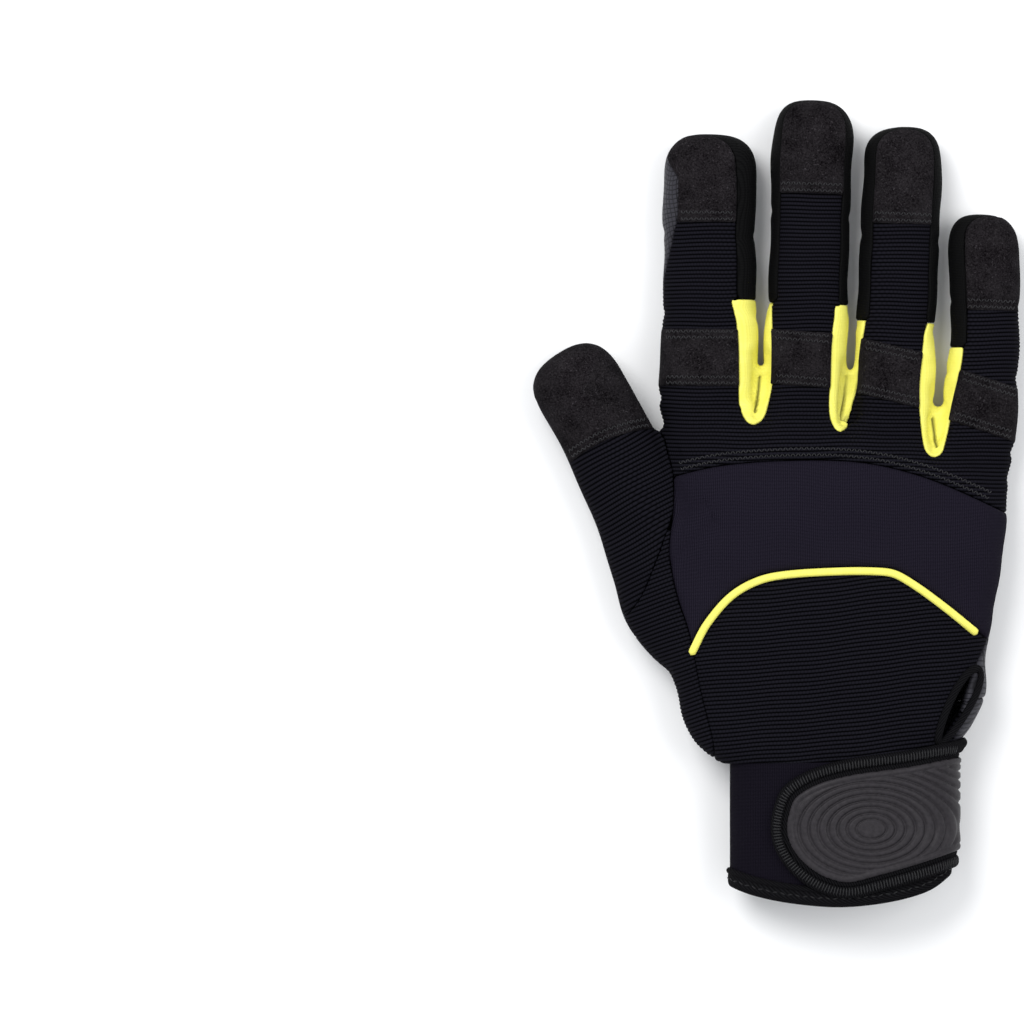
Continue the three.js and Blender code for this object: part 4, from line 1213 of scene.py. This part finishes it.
knit_edge = dict(roll=1.0, drop=0.7, wall=2, ribs=True)
region = np.minimum(back, knuckle_away)
knuckle_knit = soft_panel("knuckle_knit_cloth", cut_out(region), uv=plan_cloth(), **knit_edge)
show(knuckle_knit, "knuckle_knit", slot="ribbed_knit", material=knit)
region = np.minimum(np.minimum(back, -knuckle_away), piping_away - 1.2)
pad = soft_panel("knuckle_pad_cloth", cut_out(region), roll=2.4, drop=1.6, wall=2, lift=0.8, crown=0.8,
                 hug=True, uv=plan_cloth())
show(pad, "knuckle_pad", slot="neoprene", material=neoprene, padding=0.4)
in_vent = np.where(z > seam_height, -line_distance(x, y, vent_plan(0)), -9)
region = np.minimum(np.minimum(back, 0.9 - piping_away), -in_vent)
lower_knit = soft_panel("lower_back_knit_cloth", cut_out(region), uv=plan_cloth(0.1, 1.25), **knit_edge)
show(lower_knit, "lower_back_knit", slot="ribbed_knit", material=knit)
region = np.minimum(thumb_top, thumb_seam_away)
thumb_knit = soft_panel("thumb_back_knit_cloth", cut_out(region), uv=thumb_cloth, **knit_edge)
show(thumb_knit, "thumb_back_knit", slot="ribbed_knit", material=knit)
region = np.minimum(thumb_top, -thumb_seam_away)
gusset = soft_panel("thumb_gusset_knit_cloth", cut_out(region), uv=plan_cloth(0.35, 1.3), **knit_edge)
show(gusset, "thumb_gusset_knit", slot="ribbed_knit", material=knit)

# %% [markdown]
# ## The palm's leather
# The palm is one padded panel of leather that also makes the fronts of the fingers. It lies on the table,
# so it is flat underneath. The thumb's front and the heel of the hand are separate pieces.

# %% Leather panels
palm_away = line_distance(x, y, palm_pad_seam)
thumb_pad_away = line_distance(x, y, thumb_pad_seam)
leather_edge = dict(roll=1.3, drop=0.8)
region = np.minimum(leather, palm_away)
palm = soft_panel("palm_leather_skin", cut_out(region), wall=2.6, uv=unrolled, **leather_edge)
show(palm, "palm_leather", slot="embossed_leather", material=embossed, padding=0.5)
region = np.minimum(np.minimum(leather, -palm_away), thumb_pad_away)
thumb_front = soft_panel("thumb_leather_skin", cut_out(region), wall=2.4, uv=thumb_hide, **leather_edge)
show(thumb_front, "thumb_leather", slot="embossed_leather", material=embossed)
region = np.minimum(np.minimum(leather, -palm_away), -thumb_pad_away)
heel = soft_panel("heel_leather_skin", cut_out(region), wall=2.4, uv=unrolled, **leather_edge)
show(heel, "heel_leather", slot="embossed_leather", material=embossed)

# %% [markdown]
# ## Strips and webs
# Stretch cloth joins back and front: dark along the fingers and round their tips, bright in the crotches,
# where the hand opens and closes.

# %% Sides of the fingers
strip_edge = dict(roll=0.8, drop=0.5, wall=1.8, uv=side_cloth)
for i, f in enumerate(fingers):
    strip = soft_panel(f.name + "_side_cloth", cut_out(np.minimum(side, strips[i])), **strip_edge)
    show(strip, f.name + "_side_strip", slot="dark_stretch_cloth", material=stretch)
for i in range(3):
    node_name = fingers[i].name + "_" + fingers[i + 1].name + "_web"
    patch = creased(cut_out(np.minimum(side, web_areas[i])), web_folds[i])
    web = soft_panel(node_name + "_cloth", patch, **strip_edge)
    show(web, node_name, slot="bright_stretch_cloth", material=bright)

# %% [markdown]
# ## Suede caps and bars
# Suede is sewn on top of the knit where a finger wears: a cap over each tip and a bar over each first
# joint. The patches are cut from the same skin and lifted, so that they follow the fingers exactly.

# %% Suede patches
suede_edge = dict(roll=0.8, drop=0.7, wall=0.2, lift=0.9, hug=True)
for i, (f, at) in enumerate(zip(fingers, finger_at)):
    cap_from, bar_from, bar_to, slant = cap_rows[f.name]
    own = np.where(nearest == i, np.minimum(finger_back(f, at, z) - 0.15, back), -9)
    along = at[0] + at[1] * slant
    beyond_cap = at[0] - cap_from * f.reach
    cap = soft_panel(f.name + "_cap_suede", cut_out(np.minimum(own, beyond_cap)), **suede_edge)
    show(cap, f.name + "_tip_cap", slot="suede", material=suede)
    across_bar = np.minimum(along - bar_from * f.reach, bar_to * f.reach - along)
    bar = soft_panel(f.name + "_bar_suede", cut_out(np.minimum(own, across_bar)), **suede_edge)
    show(bar, f.name + "_knuckle_bar", slot="suede", material=suede)

# %% The thumb's cap
thumb_cap_from, thumb_cap_slant, thumb_cap_bow = 71, 0.12, 0.012
along, across = thumb_at
cap_edge = along - thumb_cap_from + thumb_cap_slant * across + thumb_cap_bow * across**2
thumb_cap_area = np.minimum(np.minimum(cap_edge, 13.4 - np.abs(across)), (z - seam_height) * 1.5)
thumb_cap_area = np.where(along > 60, thumb_cap_area, -9)
thumb_cap = soft_panel("thumb_cap_suede", cut_out(thumb_cap_area), **suede_edge)
show(thumb_cap, "thumb_tip_cap", slot="suede", material=suede)

# %% [markdown]
# ## Lines on the skin
# Piping and stitches follow seams, so a seam in the plan has to be laid on the skin. A ray straight down
# finds the height and the normal under each point of the line.

# %% Laying lines
skin_tree = BVHTree.FromPolygons(skin.points.tolist(), skin.tris.tolist())


def even(line, step):
    """Points along a line, one for each step of its length."""
    line = np.asarray(line, float)
    far = np.concatenate([[0], np.cumsum(np.linalg.norm(np.diff(line, axis=0), axis=1))])
    at = np.linspace(0, far[-1], max(int(far[-1] / step), 2) + 1)
    return np.column_stack([np.interp(at, far, line[:, k]) for k in range(line.shape[1])])


def laid(line, lift, tree=None, under=False, step=0.7):
    """A line in the plan laid on the skin from above, or from below, with the normals there."""
    places, ups = [], []
    for px, py in even(line, step):
        start, way = ((px, py, -20), (0, 0, 1)) if under else ((px, py, 80), (0, 0, -1))
        hit, normal, _, _ = (tree or skin_tree).ray_cast(Vector(start), Vector(way))
        if hit is not None:
            places.append(hit)
            ups.append(normal)
    places, ups = np.array(places), np.array(ups)
    for _ in range(4):
        ups[1:-1] = (ups[:-2] + ups[1:-1] * 2 + ups[2:]) / 4
    ups /= np.linalg.norm(ups, axis=1)[:, None]
    return places + ups * lift, ups


def tube(name, path, ups, across, up, count=16, closed=False, square=1.0):
    """A tube along a path with round ends, across and up being its two radii.

    Its UV map is round it and along it."""
    path, ups = np.asarray(path, float), np.asarray(ups, float)
    n = len(path)
    if closed:
        tangent = np.roll(path, -1, 0) - np.roll(path, 1, 0)
    else:
        tangent = np.gradient(path, axis=0)
    tangent /= np.linalg.norm(tangent, axis=1)[:, None]
    sideways = np.cross(tangent, ups)
    sideways /= np.linalg.norm(sideways, axis=1)[:, None]
    lifted = np.cross(sideways, tangent)
    angle = np.linspace(0, 2 * np.pi, count, endpoint=False)
    c, s = np.cos(angle), np.sin(angle)
    c, s = np.sign(c) * np.abs(c) ** square, np.sign(s) * np.abs(s) ** square
    size = np.ones(n)
    far = np.concatenate([[0], np.cumsum(np.linalg.norm(np.diff(path, axis=0), axis=1))])
    if not closed:
        end = np.minimum(far, far[-1] - far) / max(across, up)
        size = np.sqrt(np.clip(1 - (1 - np.clip(end, 0, 1)) ** 2, 0.01, 1))
    rings = (path[:, None, :] + sideways[:, None, :] * (c * across)[None, :, None] * size[:, None, None]
             + lifted[:, None, :] * (s * up)[None, :, None] * size[:, None, None])
    points = rings.reshape(-1, 3)
    tris = []
    for r in range(n if closed else n - 1):
        row, following = r * count, ((r + 1) % n) * count
        i = np.arange(count)
        j = (i + 1) % count
        tris.append(np.column_stack([row + i, row + j, following + j]))
        tris.append(np.column_stack([row + i, following + j, following + i]))
    tris = np.vstack(tris)
    if not closed:
        points = np.vstack([points, path[0], path[-1]])
        i = np.arange(count)
        j = (i + 1) % count
        last = (n - 1) * count
        tris = np.vstack([tris, np.column_stack([j, i, np.full(count, n * count)]),
                          np.column_stack([last + i, last + j, np.full(count, n * count + 1)])])
    u = np.tile(angle * max(across, up), n)
    v = np.repeat(far, count)
    uv = np.column_stack([u, v])
    if not closed:
        uv = np.vstack([uv, [[0, 0], [0, far[-1]]]])
    return make_piece(name, points, facing_out(points, tris), uv)


# %% [markdown]
# The piping is a cord wrapped in bright cloth. It is sewn into the seam under the neoprene panel, and it
# stands proud of both cloths.

# %% Piping
piping_path, piping_ups = laid(piping_line, 0.55)
for _ in range(6):
    piping_path[1:-1] = (piping_path[:-2] + piping_path[1:-1] * 2 + piping_path[2:]) / 4
piping = tube("piping_cord", piping_path, piping_ups, 1.2, 1.25, count=18)
show(piping, "piping", slot="bright_cord", material=bright_cord)
print("piping:", round(np.linalg.norm(np.diff(piping_path, axis=0), axis=1).sum()), "mm long")

# %% [markdown]
# ## The cuff
# The cuff is a short tube of neoprene. Its lower edge is bound with tape and dips in the middle of the
# back. The tube is a grid round the wrist: one direction goes round, the other from the wrist seam to the
# hem.

# %% Cuff
hem_line = spline([
    (wrist_shift + a * wrist_width / 2, -b * cuff_length)
    for a, b in [(-1.3, 0.76), (-1, 0.86), (-0.75, 0.93), (-0.4, 0.98), (0, 1), (0.4, 0.97), (0.75, 0.9),
                 (1, 0.78), (1.3, 0.67)]
])
hem_width = 5.2
cuff_wall = 2


def hem_at(x):
    """The hem's place along the hand."""
    return np.interp(x, hem_line[:, 0], hem_line[:, 1])


def cuff_oval(out, count=160):
    """A cross-section of the cuff, moved out, as x and z."""
    half, waist, top = wrist_width / 2 + out, wrist_height / 2 + cuff_lift, wrist_height + cuff_lift + out
    ring = oval(wrist_shift, 0, 0, half, waist, top, cuff_lift - out, cuff_lift - out, count)
    return ring[:, [0, 2]]


def cuff_soft(x, y):
    """Slow dents in the cuff's cloth."""
    return 0.35 * np.sin(x * 0.16 + 1) * np.sin(y * 0.13 + 0.4) + 0.2 * np.sin(x * 0.33 - y * 0.21)


def around_cuff(name, out_from, out_to, top, low, rows=44, count=160, edge=0.5):
    """A closed sleeve round the wrist between two heights, each a function of x. Its edges are rounded."""
    layers, uvs = [], []
    t = np.linspace(0, 1, rows)
    profile = [(s, out_to) for s in t] + [(s, out_from) for s in t[::-1]]
    middle = (out_from + out_to) / 2
    for k, (s, out) in enumerate(profile):
        near_end = min(s, 1 - s) * 30
        soft = math.sqrt(max(1 - (1 - min(near_end / edge, 1)) ** 2, 0))
        place = cuff_oval(middle + (out - middle) * (0.25 + 0.75 * soft), count)
        y = top(place[:, 0]) * (1 - s) + low(place[:, 0]) * s
        z_out = place[:, 1] + cuff_soft(place[:, 0], y) * np.clip((place[:, 1] - 6) / 8, 0, 1)
        layers.append(np.column_stack([place[:, 0], y, z_out]))
        length = np.concatenate([[0], np.cumsum(np.linalg.norm(np.diff(place, axis=0), axis=1))])
        uvs.append(np.column_stack([length, y]))
    points = np.vstack(layers)
    n = len(layers)
    tris = []
    i = np.arange(count)
    j = (i + 1) % count
    for r in range(n):
        row, following = r * count, ((r + 1) % n) * count
        tris.append(np.column_stack([row + i, following + j, row + j]))
        tris.append(np.column_stack([row + i, following + i, following + j]))
    return make_piece(name, points, facing_out(points, np.vstack(tris)), np.vstack(uvs))


def sleeve_top(x):
    """The cuff starts just inside the hand."""
    return np.full(len(x), 1.0)


def sleeve_low(x):
    """The cuff ends under the hem's tape."""
    return hem_at(x) + hem_width - 0.4


cuff = around_cuff("cuff_sleeve", -cuff_wall, 0, sleeve_top, sleeve_low)
show(cuff, "cuff_neoprene", slot="neoprene", material=cuff_neoprene)

# %% Hem
middle_ring = cuff_oval(-cuff_wall / 2, 220)
hem_path = np.column_stack([middle_ring[:, 0], hem_at(middle_ring[:, 0]) + hem_width / 2, middle_ring[:, 1]])
hem_path[:, 2] += cuff_soft(hem_path[:, 0], hem_path[:, 1]) * np.clip((hem_path[:, 2] - 6) / 8, 0, 1)
hem_ups = np.roll(middle_ring, -1, 0) - np.roll(middle_ring, 1, 0)
hem_ups = np.column_stack([hem_ups[:, 1], np.zeros(len(hem_ups)), -hem_ups[:, 0]])
hem_ups /= np.linalg.norm(hem_ups, axis=1)[:, None]
hem = tube("hem_tape", hem_path, hem_ups, hem_width / 2 + 0.1, 1.65, count=20, closed=True, square=0.7)
show(hem, "hem_binding", slot="binding_tape", material=tape)
ridge_path = hem_path + hem_ups * 1.1 + [0, hem_width / 2 - 0.3, 0]
hem_ridge = tube("hem_ridge_tape", ridge_path, hem_ups, 1.0, 1.0, count=12, closed=True)
show(hem_ridge, "hem_binding", slot="binding_tape", material=tape)

# %% [markdown]
# ## The strap
# The strap starts at the side of the wrist and lies over the back. A tape binds its edge, and a moulded
# rubber badge covers its middle. All three are cut from one smooth form that bridges the hand's end and
# the cuff.

# %% The form under the strap
def cuff_rings(count=96):
    """The cuff's cross-sections from inside the hand to past the hem."""
    ring = cuff_oval(0, count)
    heights = np.linspace(6, -cuff_length - 5, 40)
    return [np.column_stack([ring[:, 0], np.full(count, y_at), ring[:, 1]]) for y_at in heights]


wrist_form = skin_of("wrist_form", [palm_rings()[:36], cuff_rings()], 0.6, 90)
strap_edge = spline([
    (wrist_shift + a * wrist_width / 2, -b * cuff_length)
    for a, b in [(1.4, -0.26), (1, -0.17), (0.6, -0.1), (0.06, -0.04), (-0.28, 0.035), (-0.51, 0.15),
                 (-0.6, 0.29), (-0.63, 0.46), (-0.58, 0.62), (-0.44, 0.77), (-0.22, 0.89), (0.06, 0.94),
                 (0.4, 0.88), (0.75, 0.8), (1, 0.73), (1.4, 0.6)]
])
sx, sy, sz = wrist_form.points.T
strap_away = line_distance(sx, sy, strap_edge)
strap_side = (sz - 6.0) * 1.2
print("strap form:", len(wrist_form.tris), "triangles")

# %% [markdown]
# The badge's relief is plain: thin engraved ovals, one in another, inside a plain border. The lines are
# real grooves, so the badge's mesh is made finer first.

# %% Strap, binding and badge
binding_width = 3.8
badge_inset = 1.1
badge_middle = (wrist_shift + 0.13 * wrist_width, -0.45 * cuff_length)
line_pitch = 1.9


def badge_lines(p):
    """Grooves in the badge: ovals round its middle, and one line inside its border."""
    oval_size = np.hypot((p[:, 0] - badge_middle[0]) / 1.5, p[:, 1] - badge_middle[1])
    border = line_distance(p[:, 0], p[:, 1], strap_edge) - binding_width - badge_inset
    lines = np.abs((oval_size / line_pitch) % 1 - 0.5) * line_pitch
    engraved = -0.7 * np.exp(-((lines / 0.3) ** 2))
    engraved *= np.clip((border - 2.0) / 0.4, 0, 1) * np.clip((oval_size - 2.6) / 0.3, 0, 1)
    return engraved - 0.3 * np.exp(-(((border - 1.9) / 0.3) ** 2))


band_area = np.minimum(strap_away - 3.4, strap_side)
strap_band = soft_panel("strap_band_cloth", cut_out(band_area, wrist_form), roll=1.0, drop=0.6, wall=-0.9,
                        lift=2.4, uv=plan_cloth())
show(strap_band, "strap_band", slot="binding_tape", material=tape)
ring_area = np.minimum(np.minimum(strap_away, binding_width - strap_away), strap_side)
binding = soft_panel("strap_edge_tape", cut_out(ring_area, wrist_form), roll=1.7, drop=1.5, wall=-0.9,
                     lift=2.9, uv=plan_cloth())
show(binding, "strap_binding", slot="binding_tape", material=tape)
badge_area = np.minimum(strap_away - binding_width - badge_inset, strap_side)
badge = soft_panel("badge_rubber", cut_out(badge_area, wrist_form), roll=1.0, drop=0.8, wall=-2.3, lift=3.4,
                   relief=badge_lines)
show(badge, "strap_badge", slot="moulded_rubber", material=rubber)

# %% [markdown]
# ## The vent and the pull patch
# Beside the strap's root a drop-shaped vent is cut in the knit, with a narrow binding. On the palm side a
# suede patch runs down the cuff, to pull the glove on by.

# %% Vent binding
vent_path, vent_ups = laid(vent_plan(0.9, 90)[:-1], 0.3)
vent_tube = tube("vent_tape", vent_path, vent_ups, 1.25, 0.9, count=12, closed=True)
show(vent_tube, "vent_binding", slot="binding_tape", material=tape)

# %% Pull patch
def patch_grid(name, half, top, low, out, thick, columns=40, rows=60):
    """A thin flat piece under the cuff, from its top edge down to the hem, with a rolled edge."""
    u = np.linspace(-half, half, columns)
    v = np.linspace(0, 1, rows)
    points, uv = [], []
    for inner in (0, 1):
        for s in v:
            px = wrist_shift + u
            py = top * (1 - s) + (hem_at(px) + low) * s
            edge_away = np.minimum(half - np.abs(u), np.minimum(s, 1 - s) * 34)
            rolled = 0.6 * (1 - np.sqrt(1 - (1 - np.clip(edge_away / 0.9, 0, 1)) ** 2))
            pz = cuff_lift - out - (0 if inner else thick - rolled)
            points.append(np.column_stack([px, py, np.full(columns, 1.0) * pz]))
            uv.append(np.column_stack([px, py]))
    points, uv = np.vstack(points), np.vstack(uv)
    tris = []
    for r in range(rows - 1):
        for c in range(columns - 1):
            a, b = r * columns + c, r * columns + c + 1
            tris += [(a, a + columns, b + columns), (a, b + columns, b)]
    tris = np.array(tris)
    count = columns * rows
    tris = np.vstack([tris, tris[:, ::-1] + count, walls_at_rim(tris, count)])
    return make_piece(name, points, facing_out(points, tris), uv)


pull_patch = patch_grid("pull_patch_suede", 13.5, -0.6, hem_width + 0.3, 0.1, 1.0)
show(pull_patch, "cuff_pull_patch", slot="suede", material=suede)

# %% [markdown]
# ## Stitches
# A seam is a row of small threads. Geometry Nodes lay them: the tree walks along a line on the cloth,
# puts one thread at each step, turns it with the line and the cloth's normal, and swings every second one
# the other way, which gives a zigzag. One tree makes all the seams, from its inputs.

# %% The stitch tree
def stitch_tree():
    """The node tree that lays threads along a line."""
    tree = bpy.data.node_groups.new("stitch_row", "GeometryNodeTree")
    face = tree.interface
    face.new_socket("Geometry", in_out="INPUT", socket_type="NodeSocketGeometry")
    for name in ("Spacing", "Length", "Radius", "Swing", "Slant"):
        face.new_socket(name, in_out="INPUT", socket_type="NodeSocketFloat")
    face.new_socket("Thread", in_out="INPUT", socket_type="NodeSocketMaterial")
    face.new_socket("Geometry", in_out="OUTPUT", socket_type="NodeSocketGeometry")
    start = tree.nodes.new("NodeGroupInput")
    end = tree.nodes.new("NodeGroupOutput")

    def put(kind, links=(), **settings):
        made = tree.nodes.new(kind)
        for key, value in settings.items():
            setattr(made, key, value)
        for socket, value in dict(links).items():
            if isinstance(value, bpy.types.NodeSocket):
                tree.links.new(value, made.inputs[socket])
            else:
                made.inputs[socket].default_value = value
        return made

    curve = put("GeometryNodeMeshToCurve", {"Mesh": start.outputs["Geometry"]})
    spaced = {"Curve": curve.outputs[0], "Length": start.outputs["Spacing"]}
    steps = put("GeometryNodeResampleCurve", spaced, mode="LENGTH")
    tangent = put("GeometryNodeInputTangent")
    up = put("GeometryNodeInputNamedAttribute", {"Name": "up"}, data_type="FLOAT_VECTOR")
    along = put("FunctionNodeAlignRotationToVector", {"Vector": tangent.outputs[0]}, axis="X")
    turned = {"Rotation": along.outputs[0], "Vector": up.outputs[0]}
    upright = put("FunctionNodeAlignRotationToVector", turned, axis="Z", pivot_axis="X")
    index = put("GeometryNodeInputIndex")
    odd = put("ShaderNodeMath", {0: index.outputs[0], 1: 2.0}, operation="MODULO")
    sign = put("ShaderNodeMath", {0: odd.outputs[0], 1: 2.0, 2: -1.0}, operation="MULTIPLY_ADD")
    both_ways = {0: sign.outputs[0], 1: start.outputs["Swing"], 2: start.outputs["Slant"]}
    turn = put("ShaderNodeMath", both_ways, operation="MULTIPLY_ADD")
    euler = put("ShaderNodeCombineXYZ", {"Z": turn.outputs[0]})
    spin = put("FunctionNodeEulerToRotation", {0: euler.outputs[0]})
    swung = put("FunctionNodeRotateRotation", {0: upright.outputs[0], 1: spin.outputs[0]},
                rotation_space="LOCAL")
    ball = put("GeometryNodeMeshUVSphere", {"Segments": 6, "Rings": 5, "Radius": 1.0})
    smooth = put("GeometryNodeSetShadeSmooth", {0: ball.outputs[0]})
    half = put("ShaderNodeMath", {0: start.outputs["Length"], 1: 0.5}, operation="MULTIPLY")
    radius = start.outputs["Radius"]
    size = put("ShaderNodeCombineXYZ", {"X": half.outputs[0], "Y": radius, "Z": radius})
    threads = put("GeometryNodeInstanceOnPoints", {
        "Points": steps.outputs[0],
        "Instance": smooth.outputs[0],
        "Rotation": swung.outputs[0],
        "Scale": size.outputs[0],
    })
    real = put("GeometryNodeRealizeInstances", {0: threads.outputs[0]})
    painted = put("GeometryNodeSetMaterial", {0: real.outputs[0], "Material": start.outputs["Thread"]})
    tree.links.new(painted.outputs[0], end.inputs[0])
    return tree


stitch_row = stitch_tree()
sockets = {s.name: s.identifier for s in stitch_row.interface.items_tree if s.in_out == "INPUT"}
print("stitch tree inputs:", sorted(sockets))

# %% [markdown]
# A row of stitches starts as a bare line with the cloth's normals stored on it. The tree turns it into
# threads, which are kept as a mesh, and the line is removed.

# %% Rows of stitches
def stitches(name, lines, spacing, length, radius, swing, slant, thread, slot):
    """Threads along lines on the cloth. Each line is its points and its normals, in millimetres."""
    points, ups, edges = [], [], []
    for path, up in lines:
        first = sum(len(p) for p in points)
        points.append(path)
        ups.append(up)
        edges += [(first + i, first + i + 1) for i in range(len(path) - 1)]
    mesh = bpy.data.meshes.new(name)
    mesh.from_pydata(((np.vstack(points) + hand_place) * MM).tolist(), edges, [])
    layer = mesh.attributes.new("up", "FLOAT_VECTOR", "POINT")
    layer.data.foreach_set("vector", np.vstack(ups).ravel())
    holder = bpy.data.objects.new(name + "_lines", mesh)
    bpy.context.scene.collection.objects.link(holder)
    modifier = holder.modifiers.new("Stitches", "NODES")
    modifier.node_group = stitch_row
    sizes = {"Spacing": spacing * MM, "Length": length * MM, "Radius": radius * MM}
    for key, value in {**sizes, "Swing": swing, "Slant": slant, "Thread": thread}.items():
        modifier[sockets[key]] = value
    graph = bpy.context.evaluated_depsgraph_get()
    made = bpy.data.meshes.new_from_object(holder.evaluated_get(graph))
    bpy.data.objects.remove(holder)
    piece = bpy.data.objects.new(name, made)
    bpy.context.scene.collection.objects.link(piece)
    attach(piece, "root")
    print(name, len(made.polygons), "faces")


def beside(line, gap):
    """A line in the plan moved to its left."""
    line = np.asarray(line, float)
    way = np.gradient(line, axis=0)
    way /= np.linalg.norm(way, axis=1)[:, None]
    return line + np.column_stack([-way[:, 1], way[:, 0]]) * gap


# %% [markdown]
# The suede and the knuckles are sewn with two zigzag rows in dark thread, close to each edge.

# %% Zigzag seams
def clear_of_webs(row):
    """The part of a seam that keeps away from the bright webs."""
    path, ups = row
    away = [line_distance(path[:, 0], path[:, 1], outline) for outline in web_outlines]
    keep = np.max(away, axis=0) < -1.0
    return path[keep], ups[keep]


zigzag_seam = dict(spacing=0.8, length=1.3, radius=0.17, swing=0.95, slant=0.0, thread=dark_thread)
rows = []
for f in fingers:
    cap_from, bar_from, bar_to, slant = cap_rows[f.name]
    near_end = -f.near + (3.4 if f is fingers[0] else 1.2)
    span = np.linspace(near_end, f.far - 1.2, 12)
    for along in (cap_from * f.reach + 1.1, cap_from * f.reach + 3.1):
        rows.append(laid([f.place(along, s) for s in span], 1.0))
    span = np.linspace(-f.width / 2 + 1.8, f.width / 2 - 1.8, 24)
    first, last = bar_from * f.reach, bar_to * f.reach
    for along in (first + 1.0, first + 2.8, last - 1.0, last - 2.8):
        rows.append(clear_of_webs(laid([f.place(along - s * slant, s) for s in span], 1.0)))
for gap in (1.5, 3.4):
    line = beside(knuckle_seam, gap)
    inside = [i for i, (a, b) in enumerate(line) if -0.9 * half_width < a < 0.88 * half_width]
    rows.append(laid(line[inside], 0.12))
stitches("zigzag_stitches", rows, **zigzag_seam, slot="suede")

# %% Thumb seams
rows = []
for away in (1.1, 3.0):
    line = []
    for s in np.linspace(-11.5, 11.5, 20):
        line.append(thumb.place(thumb_cap_from - thumb_cap_slant * s - thumb_cap_bow * s * s + away, s))
    rows.append(laid(line, 1.0))
stitches("thumb_stitches", rows, **zigzag_seam, slot="suede")

# %% [markdown]
# The strap's tape is sewn on with an overlock stitch, whose threads lie square to the edge. The hem has
# the same.

# %% Overlock
wrist_tree = BVHTree.FromPolygons(wrist_form.points.tolist(), wrist_form.tris.tolist())
line = beside(strap_edge, 2.1)
row = laid(line[line[:, 0] < 34.0], 2.9, tree=wrist_tree, step=0.4)
stitches("strap_overlock_stitches", [row], spacing=0.9, length=2.9, radius=0.24, swing=0.05, slant=1.5,
         thread=black_thread, slot="binding_tape")
hem_row = (hem_path + hem_ups * 1.62, hem_ups)
stitches("hem_stitches", [hem_row], spacing=2.3, length=1.8, radius=0.2, swing=0.3, slant=0.0,
         thread=black_thread, slot="binding_tape")

# %% [markdown]
# On the palm side the seams are sewn with bright thread in a plain running stitch, as a contrast to the
# leather.

# %% Pull patch seams
rows = []
for way in (-12.3, 12.3):
    along = np.arange(-2.0, -cuff_length + hem_width, -0.8)
    ones = np.ones(len(along))
    path = np.column_stack([ones * (wrist_shift + way), along, ones * (cuff_lift - 1.12)])
    rows.append((path, np.tile([0.0, 0.0, -1.0], (len(along), 1))))
stitches("patch_stitches", rows, spacing=2.4, length=1.9, radius=0.22, swing=0.0, slant=0.0,
         thread=dark_thread, slot="suede")

# %% Bright running stitches
across, along = palm_pad_seam.T
line = palm_pad_seam[(along < 0.74 * palm_length) & (across < 0.93 * half_width)]
rows = [laid(beside(line, 0.7), -0.35, under=True)]
across = thumb_pad_seam[:, 0]
line = thumb_pad_seam[(across < -0.69 * half_width) & (across > -1.25 * half_width)]
rows.append(laid(beside(line, 0.7), -0.35, under=True))
stitches("palm_running_stitches", rows, spacing=2.7, length=2.1, radius=0.26, swing=0.0, slant=0.0,
         thread=bright_thread, slot="embossed_leather")

# %% [markdown]
# ## The studio
# The photograph looks straight down on a white table in soft light. A long lens keeps the edges parallel.

# %% Table, light and camera
floor_mesh = bpy.data.meshes.new("table")
floor_mesh.from_pydata([(-3, -3, 0), (3, -3, 0), (3, 3, 0), (-3, 3, 0)], [], [(0, 1, 2, 3)])
floor = bpy.data.objects.new("table", floor_mesh)
bpy.context.scene.collection.objects.link(floor)
pale = new_finish("pale_table", (0.86, 0.86, 0.86), 0.9)[0]
floor.data.materials.append(pale)

world = bpy.data.worlds.new("studio")
bpy.context.scene.world = world
world.use_nodes = True
world.node_tree.nodes["Background"].inputs[0].default_value = (0.95, 0.97, 1, 1)
world.node_tree.nodes["Background"].inputs[1].default_value = 0.85


def soft_light(name, place, size, power):
    """A round lamp that looks at the glove."""
    light = bpy.data.lights.new(name, "AREA")
    light.shape, light.size, light.energy = "DISK", size, power
    lamp = bpy.data.objects.new(name, light)
    lamp.location = place
    lamp.rotation_euler = (-Vector(place)).to_track_quat("-Z", "Y").to_euler()
    bpy.context.scene.collection.objects.link(lamp)


soft_light("key", (-0.7, 0.8, 1.5), 1.0, 22)
soft_light("fill", (0.9, 0.2, 1.4), 1.0, 9)

camera = bpy.data.cameras.new("camera")
camera.lens, camera.sensor_width = 300, 36
viewer = bpy.data.objects.new("camera", camera)
frame_width = 0.3116
viewer.location = (-0.081, -0.0023, 0.015 + frame_width * camera.lens / camera.sensor_width)
camera.clip_end = 10
bpy.context.scene.collection.objects.link(viewer)
bpy.context.scene.camera = viewer
bpy.context.scene.view_settings.view_transform = "Standard"
print("camera", round(viewer.location.z, 2), "m above the table")
